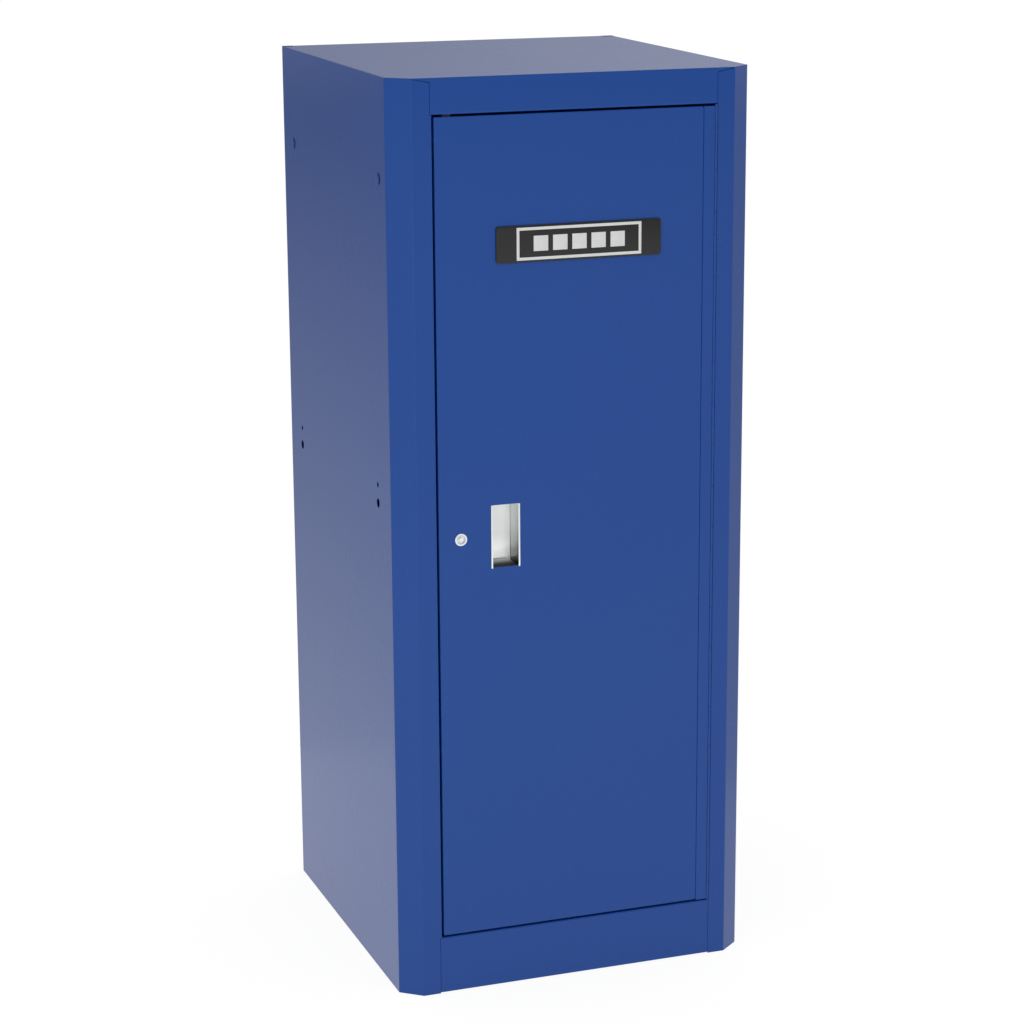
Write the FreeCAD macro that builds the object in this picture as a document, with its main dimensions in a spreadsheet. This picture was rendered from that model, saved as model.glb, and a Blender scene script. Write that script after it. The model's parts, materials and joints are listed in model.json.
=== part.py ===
"""Side locker for a tool chest: folded sheet cabinet, one hinged door, three-point key lock.

Frame: millimetres, +Z up, +X to the right of someone facing the door, +Y to the rear.
The origin is on the floor, under the middle of the cabinet.
"""
import FreeCAD, Part
import Sketcher
import math
import os

# name, value in mm (or a plain count or degrees), what it is
SIZES = [
    ("height", 1118, "cabinet, floor to top"),
    ("width", 451, "cabinet, outside of side panel to outside of side panel"),
    ("depth", 463, "cabinet, front face to rear face"),
    ("gauge", 1.2, "cabinet and door sheet"),
    ("bend", 2.0, "outer radius of the sheet bends"),
    ("chamfer_front", 25.4, "post chamfer, measured along the front"),
    ("chamfer_side", 21.4, "post chamfer, measured along the side"),
    ("jamb_left", 49.35, "left jamb plane, in from the left side"),
    ("jamb_right", 46.45, "right jamb plane, in from the right side"),
    ("jamb_bend", 1.0, "outer radius of the front bends beside the door"),
    ("rail_tab", 8, "bottom rail's tabs behind the posts"),
    ("rail_end", 47.1, "end of the rails, in from each side"),
    ("seam", 0.5, "hairline seam between rail and post"),
    ("top_rail", 42.2, "height of the top rail"),
    ("base_rise", 72.7, "floor of the locker above the ground"),
    ("skirt_lift", 1.3, "bottom rail clear of the ground"),
    ("rail_return", 22, "depth of the top rail's lower return"),
    ("rail_taper", 5.1, "run-out of the top bend over the posts"),
    ("stop_width", 12, "width of the door stop flange"),
    ("stop_space", 2.0, "space between door and stop flange"),
    ("rear_flange", 15, "rear flange of a side panel"),
    ("rear_notch", 12, "depth of the notch in the top at each rear corner"),
    ("lip", 20, "inward flanges at top and bottom of a side panel"),
    ("flange_drop", 22, "flanges of top and base pan"),
    ("back_gauge", 1.0, "back panel sheet"),
    ("back_low", 6, "back panel above the ground"),
    ("back_high", 8, "back panel below the top"),
    ("rivet", 1.6, "radius of the back panel's rivets"),
    ("rivet_head", 0.9, "height of a rivet's head"),
    ("rivet_end", 95, "end rivets away from the ground and the top"),
    ("hang_large", 5.65, "radius of the large hanging hole"),
    ("hang_small", 3.25, "radius of the small hanging hole"),
    ("hang_height", 609.3, "height of the large hanging hole"),
    ("hang_rise", 22.3, "small hanging hole above the large one"),
    ("hang_front", 73.2, "front hanging holes behind the front face"),
    ("hang_rear", 53.6, "rear hanging holes in front of the rear face"),
    ("plug_drop", 118.6, "hole plugs below the top"),
    ("plug_front", 51.2, "front plugs behind the front face"),
    ("plug_rear", 45.1, "rear plugs in front of the rear face"),
    ("plug_head", 7.0, "radius of a plug's head"),
    ("plug_bore", 5.5, "radius of a plug's hole"),
    ("plug_proud", 1.2, "thickness of a plug's head"),
    ("door_gap", 2.7, "clearance round the door"),
    ("door_depth", 25, "depth of the door pan"),
    ("door_round", 1.8, "corner radius of the door pan"),
    ("strip", 15.95, "visible width of the door leaf, from the hinge axis"),
    ("leaf", 1.0, "hinge leaf thickness"),
    ("leaf_seam", 0.4, "seam between door skin and hinge leaf"),
    ("leaf_drop", 0.9, "hinge leaf below the door skin"),
    ("leaf_reach", 22, "frame leaf depth, from the hinge axis"),
    ("barrel", 1.75, "radius of the hinge knuckles"),
    ("barrel_clear", 0.2, "knuckles clear of the jamb"),
    ("axis_depth", 0.9, "hinge axis behind the front face"),
    ("barrel_end", 0.3, "hinge pin and knuckles clear of the rails"),
    ("knuckles", 39, "number of knuckles"),
    ("knuckle_gap", 0.4, "gap between two knuckles"),
    ("pin", 1.0, "hinge pin radius"),
    ("pin_clear", 0.06, "radial clearance of the pin in the door knuckles"),
    ("hinge_groove", 0.6, "depth of the groove between hinge leaf and knuckles"),
    ("joggle_side", 2.9, "door's right return, left of the hinge axis"),
    ("skin_relief", 2.2, "corner relief of the door skin beside the hinge leaf"),
    ("relief_deep", 8, "depth of that relief in the door's end flanges"),
    ("lock_left", 78.95, "lock axis, in from the left side"),
    ("lock_height", 574.75, "lock axis above the ground"),
    ("lock_head", 7.6, "radius of the lock's head"),
    ("lock_proud", 2.0, "lock's head in front of the door"),
    ("lock_barrel", 6.2, "radius of the lock's threaded barrel"),
    ("lock_length", 12, "lock barrel behind the front face"),
    ("plug_radius", 4.2, "radius of the lock plug"),
    ("plug_run", 0.08, "radial running clearance of the lock plug"),
    ("post_radius", 2.4, "radius of the plug's centre post"),
    ("keyway", 1.4, "front of the plug body behind the lock's face"),
    ("nut_flats", 17, "lock nut across flats"),
    ("nut_thick", 3.2, "lock nut thickness"),
    ("tail", 4.6, "square tail of the plug"),
    ("cam_gap", 0.6, "cam behind the lock barrel"),
    ("cam_thick", 2.0, "cam thickness"),
    ("cam_arm", 8.5, "cam centre to drive pin"),
    ("cam_end", 4.0, "radius of the cam's ends"),
    ("drive_pin", 1.6, "drive pin radius"),
    ("drive_reach", 4.0, "drive pins behind the cam"),
    ("washer_radius", 4.0, "cam washer radius"),
    ("washer_thick", 0.8, "cam washer thickness"),
    ("screw_head", 3.2, "cam screw head radius"),
    ("screw_shank", 1.5, "cam screw shank radius"),
    ("rod_width", 10, "lock rod width"),
    ("rod_thick", 2.5, "lock rod thickness"),
    ("rod_side", 7, "lock rod centre to lock axis, sideways"),
    ("plug_sink", 0.4, "plug post behind the lock's face"),
    ("rod_run", 0.4, "clearance of a rod in slots and guides"),
    ("rod_stand", 2.4, "rod tip beyond the door's edge when unlocked"),
    ("rod_cam", 0.8, "rod end behind the cam"),
    ("fork_play", 0.6, "play of a drive pin in its fork, each side"),
    ("guide_tall", 14, "rod guide height"),
    ("guide_foot", 7, "rod guide foot"),
    ("guide_inset", 32, "outer guides in from the door's edges"),
    ("guide_near", 80, "inner guides away from the lock"),
    ("cup_left", 117.05, "pull cup, in from the left side"),
    ("cup_width", 36.35, "pull cup over its lips"),
    ("cup_lip", 2.0, "visible lip of the pull cup"),
    ("cup_low", 536.2, "floor of the pull cup"),
    ("cup_tall", 76.5, "inside height of the pull cup"),
    ("cup_depth", 30, "inside depth of the pull cup"),
    ("cup_gauge", 0.8, "pull cup sheet"),
    ("cup_clear", 0.3, "pull cup clear of the hole in the skin"),
    ("cup_round", 3, "radius between the cup's floor and back"),
    ("plate_left", 125.4, "name plate, in from the left side"),
    ("plate_width", 206.1, "name plate width"),
    ("plate_drop", 173.6, "name plate's upper edge below the top"),
    ("plate_tall", 43.25, "name plate height"),
    ("plate_thick", 2.3, "name plate thickness"),
    ("plate_round", 3.5, "name plate corner radius"),
    ("border_end", 25, "plate border in from the plate's ends"),
    ("border_edge", 2.4, "plate border in from the plate's long edges"),
    ("border_line", 3.4, "line width of the plate border"),
    ("bar_wide", 18, "width of a raised bar on the name plate"),
    ("bar_tall", 18, "height of a raised bar"),
    ("bar_gap", 6, "gap between two raised bars"),
    ("relief", 0.4, "height of the border and bars"),
    ("stud", 1.5, "name plate stud radius"),
    ("stud_inset", 18.5, "name plate studs in from the ends"),
    ("push_nut", 4.5, "push nut radius"),
    ("push_thick", 0.8, "push nut thickness"),
    ("stiff_left", 270, "middle of the door stiffener, in from the left side"),
    ("stiff_wide", 50, "door stiffener crown"),
    ("stiff_foot", 12, "door stiffener foot"),
    ("stiff_deep", 18, "door stiffener depth"),
    ("stiff_end", 20, "door stiffener clear of the door's ends"),
    ("catch_drop", 118, "middle of the magnetic catch below the top"),
    ("catch_tall", 44, "catch height"),
    ("catch_wide", 14, "catch width"),
    ("catch_deep", 15, "catch depth"),
    ("catch_gap", 0.3, "catch and bumpers clear of the door"),
    ("catch_wall", 1.5, "catch case wall"),
    ("pole", 1.5, "pole plate thickness"),
    ("strike", 1.5, "strike plate thickness"),
    ("strike_foot", 16, "foot of the strike plate"),
    ("fix_radius", 1.6, "catch screw radius"),
    ("fix_head", 3.2, "catch screw head radius"),
    ("bumper", 5.0, "door bumper radius"),
    ("bumper_low", 200, "lower bumper above the ground"),
    ("bumper_drop", 218, "upper bumper below the top"),
    ("standard_wide", 22, "shelf standard width"),
    ("standard_deep", 8, "shelf standard depth"),
    ("standard_gauge", 1.5, "shelf standard sheet"),
    ("standard_front", 118, "front standards behind the front face"),
    ("standard_rear", 108, "rear standards in front of the rear face"),
    ("standard_foot", 7, "standards above the locker's floor"),
    ("standard_top", 30, "standards below the top"),
    ("slot_first", 20, "first slot above the foot of a standard"),
    ("slot_pitch", 25, "slot spacing"),
    ("slot_tall", 14, "slot height"),
    ("slot_wide", 3.4, "slot width"),
    ("clip_gauge", 1.5, "shelf clip sheet"),
    ("clip_wide", 14, "shelf clip width"),
    ("clip_tall", 18, "shelf clip height"),
    ("clip_ledge", 10, "shelf clip ledge"),
    ("clip_tongue", 8, "shelf clip tongue height"),
    ("clip_hook", 3.0, "shelf clip tongue beyond the standard"),
    ("shelf_gap", 0.7, "shelf clear of the clips"),
    ("shelf_front", 50, "shelf behind the front face"),
    ("shelf_rear", 6, "shelf in front of the back panel"),
    ("shelf_edge", 25, "front and rear flanges of a shelf"),
    ("shelf_side", 15, "side flanges of a shelf"),
    ("shelf_hem", 9, "hem under a shelf's front flange"),
    ("low_slot", 8, "slot number of the bottom shelf"),
    ("mid_slot", 18, "slot number of the middle shelf"),
    ("high_slot", 28, "slot number of the top shelf"),
]

KEY_PINS = 7
UNLOCKED_ANGLE = 45

doc = FreeCAD.newDocument("SideLocker")
sheet = doc.addObject("Spreadsheet::Sheet", "Sizes")
for row, (alias, value, note) in enumerate(SIZES, start=1):
    sheet.set(f"A{row}", note)
    sheet.set(f"B{row}", str(value))
    sheet.setAlias(f"B{row}", alias)
doc.recompute()
ALIASES = [alias for alias, value, note in SIZES]
nodes = {}


# ---------------------------------------------------------------- helpers

def size(text):
    """Write a formula of plain aliases as one that reads them from the sheet."""
    words = []
    word = ""
    for letter in text + " ":
        if letter.isalnum() or letter in "_.":
            word += letter
            continue
        words.append(f"Sizes.{word}" if word in ALIASES else word)
        words.append(letter)
        word = ""
    return "(" + "".join(words).strip() + ")"


def number(formula):
    """Value of a formula now."""
    value = sheet.evalExpression(formula)
    return float(value.Value if hasattr(value, "Value") else value)


def bind(thing, name, formula):
    thing.setExpression(name, formula)


def keep(label, thing):
    """Register an object as a finished piece."""
    thing.Label = label
    nodes[label] = thing
    return thing


def plus(first, second):
    return f"({first} + {second})"


def minus(first, second):
    return f"({first} - {second})"


def times(factor, formula):
    return f"({factor} * {formula})"


def middle(first, second):
    return f"(({first} + {second}) / 2)"


# A view is the plane that a sketch is drawn on. Its two letters are the sketch's own axes, and
# the sign says which way along the third axis the plane faces.
VIEWS = {"plan": ("XY_Plane", 1), "front": ("XZ_Plane", -1), "side": ("YZ_Plane", 1)}
ORIGIN_INDEX = -1
START_INDEX = 1
END_INDEX = 2
CENTRE_INDEX = 3


def new_body(label):
    body = doc.addObject("PartDesign::Body", label)
    return keep(label, body)


def fix_point(sketch, item, spot, point):
    """Dimension one point of a sketch from its origin, along both axes."""
    for kind, formula in zip(("DistanceX", "DistanceY"), point):
        index = sketch.addConstraint(
            Sketcher.Constraint(kind, ORIGIN_INDEX, START_INDEX, item, spot, number(formula)))
        bind(sketch, f"Constraints[{index}]", formula)


def add_outline(sketch, outline):
    """Closed outline of straight lines through points given as pairs of formulas."""
    spots = [FreeCAD.Vector(number(point[0]), number(point[1]), 0) for point in outline]
    lines = []
    for start, end in zip(spots, spots[1:] + spots[:1]):
        lines.append(sketch.addGeometry(Part.LineSegment(start, end), False))
    for line, after in zip(lines, lines[1:] + lines[:1]):
        sketch.addConstraint(
            Sketcher.Constraint("Coincident", line, END_INDEX, after, START_INDEX))
    for line, point in zip(lines, outline):
        fix_point(sketch, line, START_INDEX, point)


def add_circle(sketch, centre, radius):
    spot = FreeCAD.Vector(number(centre[0]), number(centre[1]), 0)
    item = sketch.addGeometry(
        Part.Circle(spot, FreeCAD.Vector(0, 0, 1), number(radius)), False)
    fix_point(sketch, item, CENTRE_INDEX, centre)
    index = sketch.addConstraint(Sketcher.Constraint("Radius", item, number(radius)))
    bind(sketch, f"Constraints[{index}]", radius)


def new_sketch(body, view, at, outlines, circles):
    role, sign = VIEWS[view]
    sketch = body.newObject("Sketcher::SketchObject", f"{body.Name}_outline")
    plane = [item for item in body.Origin.OriginFeatures if item.Role == role][0]
    sketch.AttachmentSupport = [(plane, "")]
    sketch.MapMode = "FlatFace"
    bind(sketch, "AttachmentOffset.Base.z", times(sign, at))
    for outline in outlines:
        add_outline(sketch, outline)
    for centre, radius in circles:
        add_circle(sketch, centre, radius)
    return sketch


def pad(body, view, outlines, low, high, circles=()):
    """Add material between two planes."""
    sign = VIEWS[view][1]
    sketch = new_sketch(body, view, low if sign > 0 else high, outlines, circles)
    feature = body.newObject("PartDesign::Pad", f"{body.Name}_pad")
    feature.Profile = sketch
    bind(feature, "Length", minus(high, low))
    return feature


def pocket(body, view, outlines, low, high, circles=()):
    """Take material away between two planes, and check that some went."""
    sign = VIEWS[view][1]
    doc.recompute()
    before = body.Tip.Shape.Volume
    sketch = new_sketch(body, view, high if sign > 0 else low, outlines, circles)
    feature = body.newObject("PartDesign::Pocket", f"{body.Name}_pocket")
    feature.Profile = sketch
    bind(feature, "Length", minus(high, low))
    doc.recompute()
    if not feature.Shape.Volume < before:
        raise ValueError(f"pocket of {body.Label} cuts nothing")
    return feature


def rectangle(left, right, low, high):
    return [(left, low), (right, low), (right, high), (left, high)]


def round_edges(body, radius, wanted):
    """Round every edge of a body that the test picks."""
    doc.recompute()
    base = body.Tip
    names = [f"Edge{index}" for index, edge in enumerate(base.Shape.Edges, start=1)
             if wanted(edge)]
    feature = body.newObject("PartDesign::Fillet", f"{body.Name}_round")
    feature.Base = (base, names)
    bind(feature, "Radius", radius)
    return feature


def lies(edge, **places):
    """True for a straight edge whose two ends both have the given coordinates."""
    if edge.Curve.TypeId != "Part::GeomLine":
        return False
    ends = [vertex.Point for vertex in edge.Vertexes]
    return all(abs(getattr(end, axis) - place) < 0.01
               for axis, place in places.items() for end in ends)


def box(name, x, y, z):
    """Box between pairs of formulas."""
    solid = doc.addObject("Part::Box", name)
    for length, axis, (low, high) in (("Length", "x", x), ("Width", "y", y), ("Height", "z", z)):
        bind(solid, length, minus(high, low))
        bind(solid, f"Placement.Base.{axis}", low)
    return solid


TURNS = {
    "x": FreeCAD.Rotation(FreeCAD.Vector(0, 1, 0), 90),
    "y": FreeCAD.Rotation(FreeCAD.Vector(1, 0, 0), -90),
    "z": FreeCAD.Rotation(),
}


def cylinder(name, axis, centre, low, high, radius):
    """Round bar along an axis; centre holds the formulas of the other two coordinates."""
    solid = doc.addObject("Part::Cylinder", name)
    solid.Placement = FreeCAD.Placement(FreeCAD.Vector(), TURNS[axis])
    others = [letter for letter in "xyz" if letter != axis]
    for letter, formula in zip(others, centre):
        bind(solid, f"Placement.Base.{letter}", formula)
    bind(solid, f"Placement.Base.{axis}", low)
    bind(solid, "Height", minus(high, low))
    bind(solid, "Radius", radius)
    return solid


def fuse(name, pieces):
    whole = doc.addObject("Part::MultiFuse", name)
    whole.Shapes = pieces
    whole.Refine = True
    return whole


def cut(name, base, tool):
    rest = doc.addObject("Part::Cut", name)
    rest.Base = base
    rest.Tool = tool
    return rest


def group(name, pieces):
    """Like pieces that stay separate solids in one node."""
    whole = doc.addObject("Part::Compound", name)
    whole.Links = pieces
    return keep(name, whole)


# ---------------------------------------------------------------- planes and places

TOP = size("height")
LEFT = size("-width / 2")
RIGHT = size("width / 2")
FRONT = size("-depth / 2")
REAR = size("depth / 2")
T = size("gauge")
GROUND = "(0)"
SKIN_BACK = plus(FRONT, T)
OPEN_LOW = size("base_rise")
OPEN_HIGH = size("height - top_rail")
JAMB_LEFT = size("-width / 2 + jamb_left")
JAMB_RIGHT = size("width / 2 - jamb_right")
RAIL = size("width / 2 - rail_end")
RAIL_HALF = minus(RAIL, size("seam"))
SIDE_INNER = size("width / 2 - gauge")
BACK_INNER = size("depth / 2 - gauge - back_gauge")
PLUG_HEIGHT = size("height - plug_drop")
PLUG_DEPTHS = {"front": plus(FRONT, size("plug_front")), "rear": minus(REAR, size("plug_rear"))}
RIVET_X = size("width / 2 - rear_flange / 2")
RIVET_HEIGHTS = [size(f"rivet_end + (height - rivet_end * 2) * {step} / 3") for step in range(4)]
STOP_FACE = plus(FRONT, size("door_depth + stop_space"))
STOP_BACK = plus(STOP_FACE, T)

DOOR_LOW = plus(OPEN_LOW, size("door_gap"))
DOOR_HIGH = minus(OPEN_HIGH, size("door_gap"))
DOOR_LEFT = plus(JAMB_LEFT, size("door_gap"))
DOOR_BACK = plus(FRONT, size("door_depth"))
HINGE_X = minus(JAMB_RIGHT, size("barrel + barrel_clear"))
HINGE_Y = plus(FRONT, size("axis_depth"))
STRIP_LEFT = minus(HINGE_X, size("strip"))
SKIN_RIGHT = minus(STRIP_LEFT, size("leaf_seam"))
DOOR_RIGHT = minus(HINGE_X, size("joggle_side"))
LEAF_BACK = plus(FRONT, size("leaf"))
LEAF_LOW = minus(DOOR_LOW, size("leaf_drop"))

LOCK_X = plus(LEFT, size("lock_left"))
LOCK_Z = size("lock_height")
LOCK = (LOCK_X, LOCK_Z)
LOCK_FRONT = minus(FRONT, size("lock_proud"))
LOCK_BACK = plus(FRONT, size("lock_length"))
CAM_FRONT = plus(LOCK_BACK, size("cam_gap"))
CAM_BACK = plus(CAM_FRONT, size("cam_thick"))
WASHER_BACK = plus(CAM_BACK, size("washer_thick"))
ROD_FRONT = plus(CAM_BACK, size("rod_cam"))
ROD_BACK = plus(ROD_FRONT, size("rod_thick"))
SLOT_FRONT = minus(ROD_FRONT, size("rod_run / 2"))
SLOT_BACK = plus(ROD_BACK, size("rod_run"))
ROD_UPPER_X = minus(LOCK_X, size("rod_side"))
ROD_LOWER_X = plus(LOCK_X, size("rod_side"))
SLOT_HALF = size("rod_width / 2 + rod_run")


def rod_slot(centre):
    """Plan outline of the slot that a lock rod passes through."""
    return rectangle(minus(centre, SLOT_HALF), plus(centre, SLOT_HALF), SLOT_FRONT, SLOT_BACK)


# ---------------------------------------------------------------- cabinet

def side_panel(label, sign, jamb_inset):
    """Side, chamfered post, jamb and door stop, folded from one sheet."""
    body = new_body(label)

    def across(formula):
        return times(sign, formula)

    half = RIGHT
    flank = size("width / 2 - rear_flange")
    corner = size("width / 2 - chamfer_front")
    corner_back = size("-depth / 2 + chamfer_side")
    slope = "atan(Sizes.chamfer_side / Sizes.chamfer_front)"
    lean = "atan(Sizes.chamfer_front / Sizes.chamfer_side)"
    front_shift = f"(Sizes.gauge * tan({slope} / 2))"
    side_shift = f"(Sizes.gauge * tan({lean} / 2))"
    jamb = minus(half, size(jamb_inset))
    stop = minus(jamb, size("stop_width"))
    rear_part = [
        (across(flank), minus(REAR, T)),
        (across(flank), REAR),
        (across(half), REAR),
        (across(half), corner_back),
        (across(corner), FRONT),
    ]
    inner_part = [
        (across(minus(corner, front_shift)), SKIN_BACK),
        (across(SIDE_INNER), plus(corner_back, side_shift)),
        (across(SIDE_INNER), minus(REAR, T)),
    ]
    root = plus(jamb, size("gauge * 3"))
    face_part = [(across(root), FRONT), (across(root), SKIN_BACK)]
    jamb_part = [
        (across(jamb), FRONT),
        (across(jamb), STOP_FACE),
        (across(stop), STOP_FACE),
        (across(stop), STOP_BACK),
        (across(plus(jamb, T)), STOP_BACK),
        (across(plus(jamb, T)), SKIN_BACK),
    ]
    post_top = minus(TOP, T)
    pad(body, "plan", [rear_part + face_part + inner_part], GROUND, post_top)
    notch_front = plus(minus(REAR, size("rear_notch")), size("seam"))
    rear_corner = [
        (across(half), notch_front), (across(half), REAR), (across(flank), REAR),
        (across(flank), minus(REAR, T)), (across(SIDE_INNER), minus(REAR, T)),
        (across(SIDE_INNER), notch_front),
    ]
    pad(body, "plan", [rear_corner], minus(post_top, T), TOP)
    round_edges(body, size("bend"), lambda edge: (
        lies(edge, x=number(across(half)), y=number(corner_back))
        or lies(edge, x=number(across(corner)), y=number(FRONT))
        or lies(edge, x=number(across(half)), y=number(REAR))))
    pad(body, "plan", [[face_part[0]] + jamb_part + [face_part[1]]], OPEN_LOW, OPEN_HIGH)
    round_edges(body, size("jamb_bend"),
                lambda edge: lies(edge, x=number(across(jamb)), y=number(FRONT)))

    edge = sorted((across(RAIL), across(root)), key=number)
    beside_rail = rectangle(edge[0], edge[1], FRONT, SKIN_BACK)
    pad(body, "plan", [beside_rail], GROUND, OPEN_LOW)
    pad(body, "plan", [beside_rail], OPEN_HIGH, post_top)

    lip_front = plus(corner_back, size("gauge * 3"))
    for lip_end, low, high in ((minus(REAR, T), GROUND, T),
                               (minus(REAR, size("rear_notch")), minus(post_top, T), post_top)):
        lip = rectangle(across(minus(half, size("lip"))), across(minus(half, size("gauge / 2"))),
                        lip_front, lip_end)
        pad(body, "plan", [lip], low, high)

    taper = [
        (across(minus(RAIL, T)), minus(TOP, size("rail_taper + seam"))),
        (across(RAIL), minus(TOP, size("rail_taper + seam"))),
        (across(corner), post_top),
        (across(minus(RAIL, T)), post_top),
    ]
    pocket(body, "front", [taper], FRONT, plus(SKIN_BACK, T))

    hang_low = size("hang_height")
    hang_high = size("hang_height + hang_rise")
    holes = []
    for depth in (plus(FRONT, size("hang_front")), minus(REAR, size("hang_rear"))):
        holes.append(((depth, hang_low), size("hang_large")))
        holes.append(((depth, hang_high), size("hang_small")))
    for depth in PLUG_DEPTHS.values():
        holes.append(((depth, PLUG_HEIGHT), size("plug_bore")))
    wall = sorted((across(minus(SIDE_INNER, T)), across(plus(RIGHT, T))), key=number)
    pocket(body, "side", [], wall[0], wall[1], holes)
    rivets = [((across(RIVET_X), height), size("rivet")) for height in RIVET_HEIGHTS]
    pocket(body, "front", [], minus(REAR, T), REAR, rivets)
    return body


def top_panel():
    """Top with its front rail, the rail's lower return and a rear flange, in one sheet."""
    body = new_body("top_panel")
    flank = size("width / 2 - rear_flange")
    corner = size("width / 2 - chamfer_front")
    corner_back = size("-depth / 2 + chamfer_side")
    notch = minus(REAR, size("rear_notch"))
    inset = minus(flank, size("seam"))
    plate = [
        (LEFT, notch), (times(-1, inset), notch), (times(-1, inset), REAR), (inset, REAR),
        (inset, notch), (RIGHT, notch), (RIGHT, corner_back), (corner, FRONT),
        (times(-1, corner), FRONT), (LEFT, corner_back),
    ]
    pad(body, "plan", [plate], minus(TOP, T), TOP)
    taper = minus(TOP, size("rail_taper"))
    rail = [
        (times(-1, RAIL_HALF), OPEN_HIGH), (RAIL_HALF, OPEN_HIGH), (RAIL_HALF, taper),
        (corner, minus(TOP, size("gauge / 2"))),
        (times(-1, corner), minus(TOP, size("gauge / 2"))), (times(-1, RAIL_HALF), taper),
    ]
    pad(body, "front", [rail], FRONT, SKIN_BACK)
    shelf = rectangle(times(-1, RAIL_HALF), RAIL_HALF, FRONT, plus(FRONT, size("rail_return")))
    pad(body, "plan", [shelf], OPEN_HIGH, plus(OPEN_HIGH, T))
    flange = rectangle(times(-1, inset), inset, minus(TOP, size("flange_drop")), TOP)
    pad(body, "front", [flange], minus(REAR, T), REAR)
    round_edges(body, size("bend"), lambda edge: (
        lies(edge, y=number(FRONT), z=number(OPEN_HIGH))
        or lies(edge, y=number(REAR), z=number(TOP))))
    round_edges(body, size("gauge * 0.9"),
                lambda edge: lies(edge, y=number(FRONT), z=number(TOP)))
    round_edges(body, size("gauge * 0.8"), lambda edge: any(
        lies(edge, x=number(side), z=number(TOP)) for side in (LEFT, RIGHT)))
    pocket(body, "plan", [rod_slot(ROD_UPPER_X)], OPEN_HIGH, plus(OPEN_HIGH, T))
    return body


def base_pan():
    """Locker floor with the bottom rail in front and flanges at the sides and the rear."""
    body = new_body("base_pan")
    wall = minus(RIGHT, T)
    clear = plus(SKIN_BACK, size("seam"))
    corner = size("width / 2 - chamfer_front")
    corner_back = plus(FRONT, size("chamfer_side + gauge * 2"))
    plate = [
        (times(-1, RAIL_HALF), FRONT), (RAIL_HALF, FRONT), (RAIL_HALF, clear),
        (minus(corner, T), clear), (wall, corner_back), (wall, BACK_INNER),
        (times(-1, wall), BACK_INNER), (times(-1, wall), corner_back),
        (times(-1, minus(corner, T)), clear), (times(-1, RAIL_HALF), clear),
    ]
    floor_low = minus(OPEN_LOW, T)
    pad(body, "plan", [plate], floor_low, OPEN_LOW)
    skirt = rectangle(times(-1, RAIL_HALF), RAIL_HALF, size("skirt_lift"), OPEN_LOW)
    pad(body, "front", [skirt], FRONT, SKIN_BACK)
    root = minus(RAIL_HALF, size("rail_tab"))
    end = minus(RAIL_HALF, size("seam"))
    reach = plus(RAIL_HALF, size("rail_tab"))
    for sign in (-1, 1):
        tab = [(times(sign, across), depth) for across, depth in (
            (root, SKIN_BACK), (end, SKIN_BACK), (end, clear), (reach, clear),
            (reach, plus(clear, T)), (root, plus(clear, T)))]
        pad(body, "plan", [tab], size("skirt_lift"), OPEN_LOW)
    low = minus(OPEN_LOW, size("flange_drop"))
    rear = rectangle(times(-1, wall), wall, low, OPEN_LOW)
    pad(body, "front", [rear], minus(BACK_INNER, T), BACK_INNER)
    for sign in (-1, 1):
        sides = sorted((times(sign, minus(wall, T)), times(sign, wall)), key=number)
        side = rectangle(sides[0], sides[1], corner_back, BACK_INNER)
        pad(body, "plan", [side], low, OPEN_LOW)
    round_edges(body, size("bend"), lambda edge: lies(edge, y=number(FRONT), z=number(OPEN_LOW)))
    pocket(body, "plan", [rod_slot(ROD_LOWER_X)], floor_low, OPEN_LOW)
    return body


def back_panel():
    body = new_body("back_panel")
    edge = minus(SIDE_INNER, size("seam"))
    outline = rectangle(times(-1, edge), edge, size("back_low"), minus(TOP, size("back_high")))
    pad(body, "front", [outline], BACK_INNER, minus(REAR, T))
    holes = [((times(sign, RIVET_X), height), size("rivet"))
             for sign in (-1, 1) for height in RIVET_HEIGHTS]
    pocket(body, "front", [], BACK_INNER, minus(REAR, T), holes)
    return body


def back_rivets():
    """Blind rivets that hold the back panel to the rear flanges."""
    rivets = []
    for sign, side in ((-1, "left"), (1, "right")):
        for index, height in enumerate(RIVET_HEIGHTS):
            name = f"rivet_{side}_{index}"
            spot = (times(sign, RIVET_X), height)
            rivets.append(fuse(name, [
                cylinder(f"{name}_head", "y", spot, REAR, plus(REAR, size("rivet_head")),
                         size("rivet * 2")),
                cylinder(f"{name}_shank", "y", spot, BACK_INNER, REAR, size("rivet")),
                cylinder(f"{name}_tail", "y", spot, minus(BACK_INNER, size("rivet")), BACK_INNER,
                         size("rivet * 1.4")),
            ]))
    return group("back_rivets", rivets)


def hole_plugs():
    """Snap-in plugs in the four unused holes high on the sides."""
    plugs = []
    for sign, side in ((-1, "left"), (1, "right")):
        for place, depth in PLUG_DEPTHS.items():
            centre = (depth, PLUG_HEIGHT)
            name = f"plug_{side}_{place}"
            outer = plus(RIGHT, size("plug_proud"))
            inner = minus(SIDE_INNER, T)
            head = sorted((times(sign, RIGHT), times(sign, outer)), key=number)
            shank = sorted((times(sign, inner), times(sign, RIGHT)), key=number)
            plugs.append(fuse(name, [
                cylinder(f"{name}_head", "x", centre, head[0], head[1], size("plug_head")),
                cylinder(f"{name}_shank", "x", centre, shank[0], shank[1],
                         size("plug_bore - pin_clear")),
            ]))
    return group("hole_plugs", plugs)


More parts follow.
